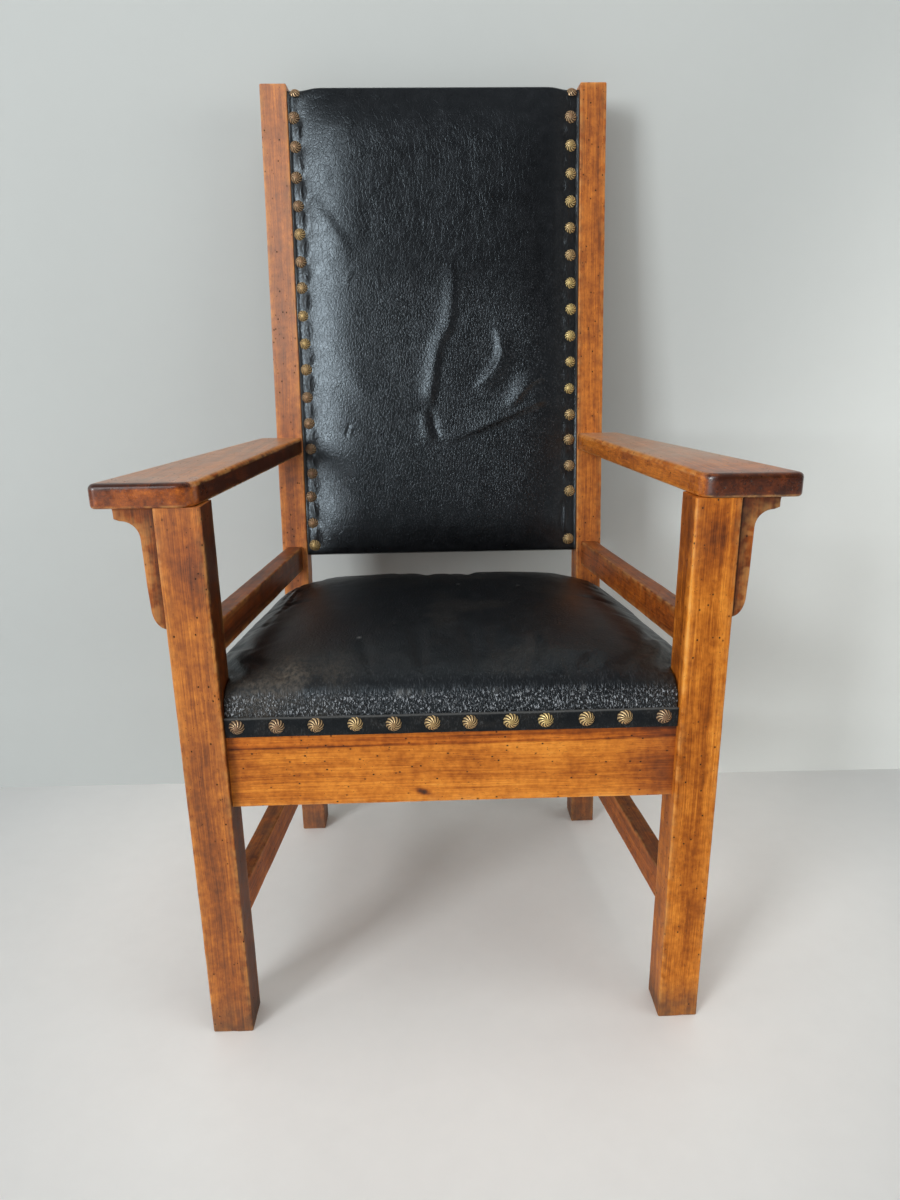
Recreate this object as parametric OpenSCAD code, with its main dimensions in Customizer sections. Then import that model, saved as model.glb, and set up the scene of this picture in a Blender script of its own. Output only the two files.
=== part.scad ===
// High-backed desk armchair: a stained hardwood frame with broad arm boards on
// bracketed front legs, a stuffed leather seat and a stuffed leather back panel
// held between the rear posts, both close-nailed with domed brass nails.
// Millimetres. +Z up, +X to the sitter's left as seen from the front (image
// right), front faces -Y. Origin on the floor at the middle of the bounding box.

/* [Overall] */
// Height of the rear posts above the floor
total_h = 1215; // [1180:1:1240]
// Outer width across the two front legs
front_w = 620; // [606:1:634]
// Outer width across the two rear posts
rear_w = 522; // [510:1:534]

/* [Front legs] */
// Width of a front leg, side to side
leg_w = 50; // [47:1:54]
// Depth of a front leg, front to back
leg_d = 49; // [46:1:52]
// Height of the tenon on top of each front leg
leg_tenon_h = 14; // [10:1:18]

/* [Rear posts] */
// Width of a rear post, side to side
post_w = 40; // [38:1:44]
// Depth of a rear post, front to back
post_d = 47; // [44:1:52]
// Distance from the front of the front legs to the front of a rear post, at the floor
post_foot_y = 464; // [458:1:472]
// The same distance at the knee
post_knee_y = 448; // [444:1:452]
// The same distance at the top
post_top_y = 547; // [530:1:560]
// Height of the knee, where the post starts to lean back
knee_z = 430; // [425:1:436]
// How far the right rear foot has crept outwards
foot_drift = 8; // [0:1:10]
// Height below which the right rear foot starts to drift
drift_z = 312; // [300:1:315]

/* [Arms] */
// Height of the arm tops
arm_top = 700; // [690:1:712]
// Thickness of an arm board
arm_t = 26; // [24:1:30]
// Distance from the middle of the chair to the outer front corner of an arm
arm_front_out = 376; // [366:0.5:382]
// Distance from the middle of the chair to the inner front corner of an arm
arm_front_in = 266; // [262:0.5:268]
// Distance from the middle of the chair to the outer rear corner of an arm
arm_rear_out = 291; // [280:0.5:300]
// Distance from the middle of the chair to the inner rear corner of an arm
arm_rear_in = 222; // [220:0.5:224]
// How far an arm reaches in front of the front leg
arm_over = 3; // [1:0.5:6]
// Radius of the arm's upper edges
arm_edge_r = 6; // [4:0.5:8]
// Radius of the arm's lower edges
arm_under_r = 3.5; // [2:0.5:5]
// Radius of the outer front corner of an arm, seen from above
arm_corner_out = 9; // [9:0.5:14]
// Radius of the inner front corner of an arm, seen from above
arm_corner_in = 20; // [12:0.5:24]

/* [Arm brackets] */
// Width of a bracket under the arm
bracket_w = 42.5; // [40:0.5:46]
// Height of a bracket
bracket_h = 134; // [128:1:140]
// Thickness of a bracket, front to back
bracket_t = 28; // [24:1:30]
// Thickness of the narrow lower part, against the leg
bracket_shank = 16; // [14:0.5:18]

/* [Side rails under the arms] */
// Height of the rail's section
arm_rail_h = 38; // [34:1:42]
// Thickness of the rail
arm_rail_t = 24; // [20:1:26]
// Height of the rail's middle at the front leg
arm_rail_zf = 519; // [514:1:524]
// Height of the rail's middle at the rear post
arm_rail_zr = 507.5; // [502:0.5:519]

/* [Low side stretchers] */
// Height of the stretcher's section
stretcher_h = 46; // [40:1:50]
// Thickness of the stretcher
stretcher_t = 24; // [20:1:26]
// Height of the stretcher's middle above the floor
stretcher_z = 168; // [150:1:190]

/* [Seat frame] */
// Height of the lower edge of the seat rails
rail_z0 = 316; // [313:1:330]
// Height of the upper edge of the seat rails
rail_z1 = 430; // [426:1:434]
// Thickness of the seat rails
rail_t = 28; // [26:1:30]
// How far the front rail sits back from the front of the legs
rail_recess = 11; // [9:1:13]
// How far the side rails sit in from the outer faces of legs and posts
side_recess = 8; // [7:0.5:10]
// Distance from the front of the legs to the front of the rear rail
rear_rail_y = 457; // [456:0.5:459]

/* [Seat cover] */
// Height of the middle of the stuffed seat
seat_top = 497; // [490:1:505]
// Height at which the cover starts to roll in over the edge
seat_edge_z = 440; // [436:1:444]
// Radius of the rolled edge
seat_roll = 22; // [18:1:26]
// Thickness of the leather
hide_t = 2; // [1.6:0.1:2.4]
// Height of the nailed leather strip
strip_h = 23; // [21:1:25]
// Height of the lower edge of the strip
strip_z = 408; // [405:1:410]
// Thickness of the strip
strip_t = 2; // [1.6:0.1:2.2]

/* [Back panel] */
// Height of the lower edge of the back panel
back_z0 = 512; // [506:1:520]
// Height of the upper edge of the back panel
back_z1 = 1207.5; // [1170:0.5:1232]
// Width of the stiles of the inner frame
stile_w = 32; // [30:1:36]
// Height of the rails of the inner frame
back_rail_h = 45; // [40:1:55]
// Thickness of the inner frame
back_t = 28; // [24:1:30]
// How far the leather at the nails sits behind the front of the posts
back_set = 3; // [2:0.5:4]
// How far the stuffed middle stands out from the nailed edge
back_bulge = 16; // [12:1:20]

/* [Nails] */
// Diameter of a domed nail head
nail_d = 18; // [16:0.5:18.5]
// Height of a domed nail head
nail_h = 6; // [5:0.5:7]
// Diameter of a nail's shank
shank_d = 2.4; // [2:0.1:2.6]
// Number of nails across the front of the seat
front_nails = 12; // [10:1:13]
// Distance between the nails down the back
back_pitch = 40.5; // [36:0.5:42]
// Number of nail places down each side of the back
back_nails = 17; // [15:1:17]
// Which nail place on the right is empty, counted from the top
lost_nail = 16; // [1:1:17]

/* [Fits] */
// Clearance round a tenon
fit = 0.15; // [0.1:0.05:0.2]
// Clearance round a screw, dowel or nail shank
bore_fit = 0.1; // [0.05:0.05:0.15]

/* [Hidden] */
$fn = 48;

WOOD = [0.62, 0.34, 0.15];
WOOD_IN = [0.70, 0.50, 0.30];
HIDE = [0.07, 0.07, 0.08];
BRASS = [0.72, 0.56, 0.28];
STEEL = [0.55, 0.55, 0.56];
JUTE = [0.66, 0.52, 0.34];
HAIR = [0.24, 0.17, 0.12];

fx = front_w / 2;                 // outer face of a front leg
fxi = fx - leg_w;                 // inner face of a front leg
px = rear_w / 2;                  // outer face of a rear post
pxi = px - post_w;                // inner face of a rear post
arm_z = arm_top - arm_t;          // underside of the arms
y_mid = (post_top_y + post_d - arm_over) / 2;    // middle of the bounding box, front to back
rake = atan2(post_top_y - post_knee_y, total_h - knee_z);

// distance of a post's front face from the front of the front legs, at height z
function post_y(z) = z < knee_z
  ? post_foot_y + (post_knee_y - post_foot_y) * z / knee_z
  : post_knee_y + (post_top_y - post_knee_y) * (z - knee_z) / (total_h - knee_z);
// sideways drift of the right rear foot at height z
function drift(z) = z < drift_z ? foot_drift * (drift_z - z) / drift_z : 0;

// centre line of the seat's side rails in plan
sx0 = fx - side_recess - rail_t / 2;
sx1 = px - side_recess - rail_t / 2;
sy0 = leg_d;
sy1 = post_y(rail_z0 / 2 + rail_z1 / 2);
side_yaw = atan2(sx0 - sx1, sy1 - sy0);
function side_x(y, off) = sx0 - (y - sy0) * (sx0 - sx1) / (sy1 - sy0) + off / cos(side_yaw);

module at() translate([0, -y_mid, 0]) children();
module flip(s) { if (s < 0) mirror([1, 0, 0]) children(); else children(); }
// the leaning frame of the back: X across, Y into the back, Z up the slope
module back_at() at() translate([0, post_knee_y, knee_z]) rotate([-rake, 0, 0]) children();

// a straight bar from a to b, t thick and h high, reaching e0 and e1 past its ends
module bar(a, b, t, h, e0, e1) {
  d = b - a;
  l = norm(d);
  translate(a) rotate([0, 0, atan2(-d[0], d[1])]) rotate([asin(d[2] / l), 0, 0])
    translate([-t / 2, -e0, -h / 2]) cube([t, l + e0 + e1, h]);
}
// everything between the rear face of a front leg and the front face of a rear post
module side_space(g = 0) translate([-600, 0, 0]) rotate([90, 0, 90]) linear_extrude(1200)
  polygon([[leg_d + g, -20], [post_y(-20) - g, -20], [post_knee_y - g, knee_z],
           [post_y(900) - g, 900], [leg_d + g, 900]]);
module rod_x(x0, x1, y, z, r) translate([x0, y, z]) rotate([0, 90, 0]) cylinder(r = r, h = x1 - x0, $fn = 32);
module rod_y(x, y0, y1, z, r) translate([x, y0, z]) rotate([-90, 0, 0]) cylinder(r = r, h = y1 - y0, $fn = 32);

// end points of the right-hand rails that run from front to back
rail_a = [sx0, sy0, (rail_z0 + rail_z1) / 2];
rail_b = [sx1, sy1, (rail_z0 + rail_z1) / 2];
function arm_rail_a() = [fxi + arm_rail_t / 2 + 0.5, leg_d, arm_rail_zf];
function arm_rail_b() = [pxi + post_w / 2, post_y(arm_rail_zr), arm_rail_zr];
function str_a() = [fxi + stretcher_t / 2 + 0.5, leg_d, stretcher_z];
function str_b(dr) = [pxi + stretcher_t / 2 + 0.5 + dr, post_y(stretcher_z), stretcher_z];

// tenons of those rails; c is the clearance round them
module rail_tenons(c) bar(rail_a, rail_b, 12 + 2 * c, 84 + 2 * c, 18 + 2 * c, 12 + 2 * c);
module arm_rail_tenons(c) bar(arm_rail_a(), arm_rail_b(), 10 + 2 * c, 26 + 2 * c, 22 + 2 * c, 18 + 2 * c);
module str_tenons(c, dr) bar(str_a(), str_b(dr), 10 + 2 * c, 32 + 2 * c, 24 + 2 * c, 20 + 2 * c);
module front_rail_tenon(c) translate([fxi - 5, rail_recess + 7 - c, rail_z0 + 12 - c])
  cube([5 + 18 + 2 * c, 10 + 2 * c, rail_z1 - rail_z0 - 24 + 2 * c]);
module rear_rail_tenon(c) translate([pxi - 5, rear_rail_y + 8 - c, rail_z0 + 12 - c])
  cube([5 + 15 + 2 * c, 11 + 2 * c, rail_z1 - rail_z0 - 24 + 2 * c]);
module leg_top_tenon(c) translate([fxi + 9 - c, 9 - c, arm_z - 2])
  cube([leg_w - 18 + 2 * c, leg_d - 18 + 2 * c, leg_tenon_h + 2 + 2 * c]);

// dowels that hold a bracket to its leg and arm, and an arm to its post
bracket_y = 4 + bracket_t / 2;
module bracket_pegs(c) {
  for (z = [arm_z - 100, arm_z - 45]) rod_x(fx - 14 - c, fx + 11 + c, bracket_y, z, 4 + c);
  translate([fx + 29, bracket_y, arm_z - 10 - c]) cylinder(r = 4 + c, h = 20 + 2 * c, $fn = 32);
}
peg_z = arm_z + arm_t / 2;
module arm_pegs(c) for (x = [pxi + 11, pxi + 29])
  rod_y(x, post_y(peg_z) - 18 - c, post_y(peg_z) + 18 + c, peg_z, 4.5 + c);

// screws of a right-hand corner block: one into the front or rear rail, one into the side rail
module block_screws_front(c, head = 0) {
  rod_y(225, rail_recess + 11, rail_recess + rail_t + 17, 365, 2 + c);
  rod_y(225, rail_recess + rail_t + 14 - c, rail_recess + rail_t + 17 + head, 365, 4 + c);
  rod_x(251, side_x(90, 0) + 3, 90, 390, 2 + c);
  rod_x(251 - head, 254 + c, 90, 390, 4 + c);
}
module block_screws_rear(c, head = 0) {
  rod_y(186, rear_rail_y - 17, rear_rail_y + 17, 365, 2 + c);
  rod_y(186, rear_rail_y - 17 - head, rear_rail_y - 14 + c, 365, 4 + c);
  rod_x(209, side_x(419, 0) + 3, 419, 390, 2 + c);
  rod_x(209 - head, 212 + c, 419, 390, 4 + c);
}

// a front leg: square, with a stub tenon that enters the arm
module front_leg(s) color(WOOD) at() flip(s) difference() {
  union() {
    translate([fxi, 0, 0]) cube([leg_w, leg_d, arm_z]);
    leg_top_tenon(0);
  }
  front_rail_tenon(fit);
  rail_tenons(fit);
  arm_rail_tenons(fit);
  str_tenons(fit, 0);
  bracket_pegs(bore_fit);
}
module front_leg_left() front_leg(-1);
module front_leg_right() front_leg(1);

// a rear post: sawn in one piece from foot to top, bent at the knee
module post_blank(dr) intersection() {
  translate([-20, 0, 0]) rotate([90, 0, 90]) linear_extrude(400) polygon([
    [post_foot_y, 0], [post_foot_y + post_d, 0], [post_knee_y + post_d, knee_z],
    [post_top_y + post_d, total_h], [post_top_y, total_h], [post_knee_y, knee_z]]);
  translate([0, 800, 0]) rotate([90, 0, 0]) linear_extrude(800) polygon([
    [pxi + dr, 0], [px + dr, 0], [px, drift_z], [px, total_h], [pxi, total_h], [pxi, drift_z]]);
}
module rear_post(s, dr) color(WOOD) difference() {
  at() flip(s) difference() {
    post_blank(dr);
    rear_rail_tenon(fit);
    rail_tenons(fit);
    arm_rail_tenons(fit);
    str_tenons(fit, drift(stretcher_z) * dr / max(foot_drift, 0.001));
    arm_pegs(bore_fit);
  }
  back_at() flip(s) back_screws(bore_fit);
}
module rear_post_left() rear_post(-1, 0);
module rear_post_right() rear_post(1, foot_drift);

// corner of a polygon moved in by r from both of its edges
function inset_corner(a, p, b, r) =
  let (u = (a - p) / norm(a - p), v = (b - p) / norm(b - p), w = u + v, h = acos(u * v) / 2)
  p + w / norm(w) * r / sin(h);
arm_r0 = (arm_rear_out - arm_front_out) / (post_y(arm_z) + arm_over);
arm_r1 = (arm_rear_in - arm_front_in) / (post_y(arm_z) + arm_over);
arm_l = 540;
arm_q = [[arm_front_out, -arm_over], [arm_front_in, -arm_over],
         [arm_front_in + arm_r1 * (arm_l + arm_over), arm_l], [arm_front_out + arm_r0 * (arm_l + arm_over), arm_l]];
// a disc with a rounded rim, the corner of an arm board
module arm_disc(p, r) translate([p[0], p[1], arm_z]) rotate_extrude($fn = 32) polygon(concat([[0, 0]],
  [for (a = [0:18:90]) [r - arm_under_r + arm_under_r * sin(a), arm_under_r - arm_under_r * cos(a)]],
  [for (a = [0:15:90]) [r - arm_edge_r + arm_edge_r * cos(a), arm_t - arm_edge_r + arm_edge_r * sin(a)]],
  [[0, arm_t]]));
// an arm board: broad at the front, narrow where it butts on the post
module arm(s) color(WOOD) at() flip(s) difference() {
  intersection() {
    hull() for (i = [0:3]) let (r = i == 0 || i == 3 ? arm_corner_out : arm_corner_in)
      arm_disc(inset_corner(arm_q[(i + 3) % 4], arm_q[i], arm_q[(i + 1) % 4], r), r);
    rotate([90, 0, 90]) linear_extrude(500) polygon([
      [-40, arm_z - 5], [post_y(arm_z - 5), arm_z - 5], [post_y(arm_top + 5), arm_top + 5], [-40, arm_top + 5]]);
  }
  leg_top_tenon(fit);
  bracket_pegs(bore_fit);
  arm_pegs(bore_fit);
}
module arm_left() arm(-1);
module arm_right() arm(1);

// a bracket: a lip under the arm, a hollow curve, then a narrow tail down the leg
module bracket(s) color(WOOD) at() flip(s) difference() {
  translate([fx, bracket_y + bracket_t / 2, arm_z]) rotate([90, 0, 0]) linear_extrude(bracket_t) polygon(concat(
    [[0, 0], [bracket_w, 0], [bracket_w, -11.5], [bracket_w - 6, -14]],
    [for (a = [90:10:180]) [bracket_w - 6.5 + (bracket_w - 6.5 - bracket_shank - 1) * cos(a), -33.5 + 19.5 * sin(a)]],
    [[bracket_shank + 0.2, -bracket_h + 50]],
    [for (a = [0:10:90]) [(bracket_shank - 1) * cos(a), -bracket_h + 24 - 24 * sin(a)]]));
  bracket_pegs(bore_fit);
}
module arm_bracket_left() bracket(-1);
module arm_bracket_right() bracket(1);

// the rail between arm and seat on each side
module arm_side_rail(s) color(WOOD) at() flip(s) union() {
  intersection() { bar(arm_rail_a(), arm_rail_b(), arm_rail_t, arm_rail_h, 40, 40); side_space(); }
  arm_rail_tenons(0);
}
module arm_side_rail_left() arm_side_rail(-1);
module arm_side_rail_right() arm_side_rail(1);

// the low stretcher between front leg and rear foot on each side
module stretcher(s, dr) color(WOOD) at() flip(s) union() {
  intersection() { bar(str_a(), str_b(dr), stretcher_t, stretcher_h, 40, 40); side_space(); }
  str_tenons(0, dr);
}
module stretcher_left() stretcher(-1, 0);
module stretcher_right() stretcher(1, drift(stretcher_z));

// the seat frame
module seat_rail_front() color(WOOD) at() difference() {
  union() {
    translate([-fxi, rail_recess, rail_z0]) cube([2 * fxi, rail_t, rail_z1 - rail_z0]);
    for (s = [-1, 1]) flip(s) front_rail_tenon(0);
  }
  for (s = [-1, 1]) flip(s) block_screws_front(bore_fit);
  front_nail_row() shank(bore_fit);
}
module seat_rail_rear() color(WOOD_IN) at() difference() {
  union() {
    translate([-pxi, rear_rail_y, rail_z0]) cube([2 * pxi, rail_t, rail_z1 - rail_z0]);
    for (s = [-1, 1]) flip(s) rear_rail_tenon(0);
  }
  for (s = [-1, 1]) flip(s) block_screws_rear(bore_fit);
  rear_nail_row() shank(bore_fit);
}
module seat_rail_side(s) color(WOOD) at() difference() {
  flip(s) union() {
    intersection() { bar(rail_a, rail_b, rail_t, rail_z1 - rail_z0, 40, 40); side_space(); }
    rail_tenons(0);
  }
  flip(s) block_screws_front(bore_fit);
  flip(s) block_screws_rear(bore_fit);
  flip(s) side_nail_row() shank(bore_fit);
}
module seat_rail_left() seat_rail_side(-1);
module seat_rail_right() seat_rail_side(1);

// three-cornered blocks glued and screwed into the corners of the seat frame
module block_front(s) color(WOOD_IN) at() flip(s) difference() {
  translate([0, 0, 345]) linear_extrude(65) polygon([
    [200, rail_recess + rail_t], [fxi - 0.3, rail_recess + rail_t], [fxi - 0.3, leg_d + 0.4],
    [side_x(leg_d + 0.4, -rail_t / 2), leg_d + 0.4], [side_x(112, -rail_t / 2), 112]]);
  block_screws_front(bore_fit, 30);
}
module seat_block_front_left() block_front(-1);
module seat_block_front_right() block_front(1);
module block_rear(s) color(WOOD_IN) at() flip(s) difference() {
  translate([0, 0, 345]) linear_extrude(65) polygon([
    [160, rear_rail_y], [side_x(396, -rail_t / 2), 396], [side_x(post_knee_y - 1, -rail_t / 2), post_knee_y - 1],
    [pxi - 0.3, post_knee_y - 1], [pxi - 0.3, rear_rail_y]]);
  block_screws_rear(bore_fit, 30);
}
module seat_block_rear_left() block_rear(-1);
module seat_block_rear_right() block_rear(1);
module seat_block_screws() color(STEEL) at() for (s = [-1, 1]) flip(s) {
  block_screws_front(0);
  block_screws_rear(0);
}
module bracket_dowels() color(WOOD_IN) at() for (s = [-1, 1]) flip(s) bracket_pegs(0);
module arm_rear_dowels() color(WOOD_IN) at() for (s = [-1, 1]) flip(s) arm_pegs(0);

// nails: a domed head standing on the plane y = 0 and pointing to -Y, and its shank
cap_r = (pow(nail_d / 2, 2) + pow(nail_h, 2)) / (2 * nail_h);
module nail_head() intersection() {
  translate([0, cap_r - nail_h, 0]) sphere(r = cap_r);
  translate([0, -nail_h - 1, 0]) rotate([-90, 0, 0]) cylinder(r = nail_d, h = nail_h + 1);
}
module shank(c, l = 10) rod_y(0, -0.5, l + c, 0, shank_d / 2 + c);
module nail() union() { nail_head(); shank(0); }
// small tacks used where they don't show from the front
tack_r = 4.5;
module tack_step(r, h) rotate([90, 0, 0]) linear_extrude(h) polygon([for (a = [0:22.5:337.5]) [r * cos(a), r * sin(a)]]);
module tack() union() {
  tack_step(tack_r, 1);
  tack_step(tack_r - 1.3, 2);
  rod_y(0, -0.5, 6, 0, 0.8);
}
module tack_shank(c) rod_y(0, -0.5, 6 + c, 0, 0.8 + c);

// height of the seat's nail rows, and where the rows run
nail_z = strip_z + strip_h / 2 + 1;
front_span = 2 * (fxi - 15.5);
module front_nail_row() for (i = [0:front_nails - 1])
  translate([-front_span / 2 + front_span * i / (front_nails - 1), rail_recess - hide_t - strip_t, nail_z]) children();
side_nails = 9;
side_l = norm(rail_b - rail_a);
module side_nail_row() for (i = [0:side_nails - 1])
  translate([sx0, sy0, nail_z]) rotate([0, 0, 90 + side_yaw]) translate([18 + (side_l - 36) * i / (side_nails - 1), -rail_t / 2 - hide_t - strip_t, 0]) children();
rear_nails = 10;
rear_span = 2 * (pxi - 15);
module rear_nail_row() for (i = [0:rear_nails - 1])
  translate([-rear_span / 2 + rear_span * i / (rear_nails - 1), rear_rail_y + rail_t + hide_t + strip_t, nail_z]) rotate([0, 0, 180]) children();
module seat_nails_front() color(BRASS) at() front_nail_row() nail();
module seat_nails_left() color(BRASS) at() flip(-1) side_nail_row() nail();
module seat_nails_right() color(BRASS) at() flip(1) side_nail_row() nail();
module seat_nails_rear() color(BRASS) at() rear_nail_row() nail();

// the stuffed seat. Every level is the seat's outline moved in by d
seat_y0 = rail_recess - hide_t;
seat_y1 = rear_rail_y + rail_t + hide_t;
seat_half = (seat_y1 - seat_y0) / 2;
crown = seat_top - seat_edge_z - seat_roll;
function seat_h(d) = seat_edge_z + sqrt(pow(seat_roll, 2) - pow(max(0, seat_roll - d), 2))
  + crown * (1 - pow(1 - min(d, seat_half) / seat_half, 3.2));
module seat_outline(d) polygon([for (p = [[seat_y0 + d, 1], [seat_y1 - d, 1], [seat_y1 - d, -1], [seat_y0 + d, -1]])
  [p[1] * side_x(p[0], rail_t / 2 + hide_t - d), p[0]]]);
// the filled form, skin deep below the outer surface, down to z0
module seat_form(skin, z0, clear) difference() {
  hull() {
    translate([0, 0, z0]) linear_extrude(0.01) seat_outline(skin);
    for (d = [0, 2, 6, 12, 20, 34, 60, 100, 150, 200])
      translate([0, 0, seat_h(d) - skin]) linear_extrude(0.01) seat_outline(d + skin);
  }
  for (s = [-1, 1]) flip(s) {
    translate([fxi - clear, -10, 300]) cube([100, leg_d + 10 + clear, 300]);
    translate([pxi - clear, 0, 0]) rotate([90, 0, 90]) linear_extrude(100) polygon([
      [post_y(300) - clear, 300], [post_knee_y - clear, knee_z], [post_y(600) - clear, 600], [700, 600], [700, 300]]);
  }
}
module seat_leather() color(HIDE) at() difference() {
  seat_form(0, strip_z + 2, 0.4);
  seat_form(hide_t - 0.1, strip_z - 10, -20);
  front_nail_row() shank(bore_fit);
  for (s = [-1, 1]) flip(s) side_nail_row() shank(bore_fit);
  rear_nail_row() shank(bore_fit);
}
pad_z = rail_z1 + 3.4;
module seat_stuffing() color(HAIR) at() seat_form(hide_t + 0.1, pad_z, 2.4);

// flat outline of the seat inside the cover, cut round legs and posts
module seat_flat(d) difference() {
  seat_outline(hide_t + d);
  for (s = [-1, 1]) flip(s) {
    translate([fxi - 3, -10]) square([100, leg_d + 13]);
    translate([pxi - 3, post_knee_y - 4]) square([100, 100]);
  }
}
module seat_webbing_long() color(JUTE) at() for (x = [-150, -50, 50, 150])
  translate([x - 26, rail_recess + 4, rail_z1]) cube([52, rear_rail_y + rail_t - rail_recess - 8, 1.2]);
module seat_webbing_cross() color(JUTE) at() for (y = [105, 195, 285, 375])
  translate([-side_x(y + 26, rail_t / 2 - 4), y - 26, rail_z1 + 1.2]) cube([2 * side_x(y + 26, rail_t / 2 - 4), 52, 1.2]);
module seat_hessian() color(JUTE) at() translate([0, 0, rail_z1 + 2.5]) linear_extrude(0.8) seat_flat(4);

// flat leather strips that the nails go through, one on each side of the seat
module seat_strip_front() color(HIDE) at() difference() {
  translate([-fxi + 0.6, rail_recess - hide_t - strip_t, strip_z]) cube([2 * fxi - 1.2, strip_t, strip_h]);
  front_nail_row() shank(bore_fit);
}
module seat_strip_side(s) color(HIDE) at() flip(s) difference() {
  intersection() {
    translate([sx0, sy0, strip_z]) rotate([0, 0, 90 + side_yaw]) translate([-40, -rail_t / 2 - hide_t - strip_t, 0]) cube([side_l + 80, strip_t, strip_h]);
    side_space(0.5);
  }
  side_nail_row() shank(bore_fit);
}
module seat_strip_left() seat_strip_side(-1);
module seat_strip_right() seat_strip_side(1);
module seat_strip_rear() color(HIDE) at() difference() {
  translate([-pxi + 0.6, rear_rail_y + rail_t + hide_t, strip_z]) cube([2 * pxi - 1.2, strip_t, strip_h]);
  rear_nail_row() shank(bore_fit);
}

// the back panel, in the leaning frame of back_at()
bs0 = (back_z0 - knee_z) / cos(rake);
bs1 = (back_z1 - knee_z) / cos(rake);
fa = bs0 + hide_t + 0.1;          // lower end of the inner frame
fb = bs1 - hide_t - 0.1;          // upper end of the inner frame
fy = back_set + hide_t;           // front face of the inner frame
bx = pxi - 0.5;                   // half width of the panel
cham = 8;                         // bevel along the frame's top front edge
module frame_section(z0, z1, x0, x1) translate([x0, 0, 0]) rotate([90, 0, 90]) linear_extrude(x1 - x0) polygon(
  z1 >= fb ? [[fy, z0], [fy + back_t, z0], [fy + back_t, fb], [fy + cham, fb], [fy, fb - cham]]
           : [[fy, z0], [fy + back_t, z0], [fy + back_t, z1], [fy, z1]]);
module back_tenons(c) for (z = [fa + 8, fb - back_rail_h + 5])
  translate([bx - stile_w - 5, fy + 9 - c, z - c]) cube([5 + 16 + 2 * c, 10 + 2 * c, back_rail_h - 16 + 2 * c]);
// screws that hold the inner frame to a post
module back_screws(c, head = 0) for (z = [bs0 + 90, (bs0 + bs1) / 2, bs1 - 90]) {
  rod_x(bx - stile_w + 1, pxi + 17, fy + back_t / 2, z, 2 + c);
  rod_x(bx - stile_w + 1 - head, bx - stile_w + 4 + c, fy + back_t / 2, z, 4 + c);
}
nail_x = pxi - 12.2;
nail_s0 = bs1 - 40;               // first nail below the top corner
module back_nail(i, s) translate([s * nail_x, back_set, nail_s0 - i * back_pitch]) children();
module back_nail_row(s) for (i = [0:back_nails - 1]) back_nail(i, s) children();
module back_top_nail(s) translate([s * nail_x, back_set + (cham + 1) / 2, bs1 - (cham + 1) / 2]) rotate([-45, 0, 0]) children();
module back_stile(s) color(WOOD_IN) back_at() difference() {
  flip(s) frame_section(fa, fb, bx - stile_w, bx);
  flip(s) back_tenons(fit);
  flip(s) back_screws(bore_fit, 5);
  back_nail_row(s) shank(bore_fit);
  back_top_nail(s) shank(bore_fit);
  flip(s) rear_tacks_side() tack_shank(bore_fit);
}
module back_stile_left() back_stile(-1);
module back_stile_right() back_stile(1);
module back_rail_top() color(WOOD_IN) back_at() difference() {
  union() {
    frame_section(fb - back_rail_h, fb, -bx + stile_w, bx - stile_w);
    intersection() { for (s = [-1, 1]) flip(s) back_tenons(0); translate([-300, 0, fb - back_rail_h]) cube([600, 100, back_rail_h]); }
  }
  rear_tacks_ends() tack_shank(bore_fit);
}
module back_rail_bottom() color(WOOD_IN) back_at() difference() {
  union() {
    frame_section(fa, fa + back_rail_h, -bx + stile_w, bx - stile_w);
    intersection() { for (s = [-1, 1]) flip(s) back_tenons(0); translate([-300, 0, fa]) cube([600, 100, back_rail_h]); }
  }
  rear_tacks_ends() tack_shank(bore_fit);
}
module back_frame_screws() color(STEEL) back_at() for (s = [-1, 1]) flip(s) back_screws(0);

// webbing, hessian and stuffing on the front of the inner frame
flat_in = 26.5;                   // how far these stay inside the panel's edge
module back_webbing_upright() color(JUTE) back_at() for (x = [-120, 0, 120])
  translate([x - 26, fy - 1.1, bs0 + flat_in]) cube([52, 1.1, bs1 - bs0 - 2 * flat_in]);
module back_webbing_cross() color(JUTE) back_at() for (i = [0:4])
  translate([-bx + flat_in, fy - 2.2, bs0 + 90 + (bs1 - bs0 - 180) * i / 4 - 26]) cube([2 * (bx - flat_in), 1.1, 52]);
module back_hessian() color(JUTE) back_at()
  translate([-bx + flat_in, fy - 2.9, bs0 + flat_in]) cube([2 * (bx - flat_in), 0.7, bs1 - bs0 - 2 * flat_in]);
// the stuffed form: every level is the panel's outline moved in by d
edge_in = 21.5;
function back_y(t) = back_set - back_bulge * sin(t * 90);
module back_level(d, y) translate([-bx + d, y, bs0 + d]) cube([2 * (bx - d), 0.01, bs1 - bs0 - 2 * d]);
module back_form(skin) hull() {
  back_level(edge_in + skin, fy);
  for (t = [0:0.125:1]) back_level(edge_in + skin + 95 * (1 - cos(t * 90)), back_y(t) + skin);
}
module back_leather() color(HIDE) back_at() difference() {
  union() {
    difference() {
      translate([-bx, 0, 0]) rotate([90, 0, 90]) linear_extrude(2 * bx) polygon([
        [back_set, bs0], [back_set, bs1 - cham - 1], [back_set + cham + 1, bs1], [fy + back_t, bs1],
        [fy + back_t, bs1 - hide_t], [fy + cham, bs1 - hide_t], [fy, bs1 - hide_t - cham], [fy, bs0 + hide_t],
        [fy + back_t, bs0 + hide_t], [fy + back_t, bs0]]);
    }
    back_form(0);
  }
  hull() {
    back_level(edge_in + hide_t, fy + 1);
    for (t = [0:0.125:1]) back_level(edge_in + hide_t + 95 * (1 - cos(t * 90)), back_y(t) + hide_t);
  }
  for (s = [-1, 1]) { back_nail_row(s) shank(bore_fit); back_top_nail(s) shank(bore_fit); }
}
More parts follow.
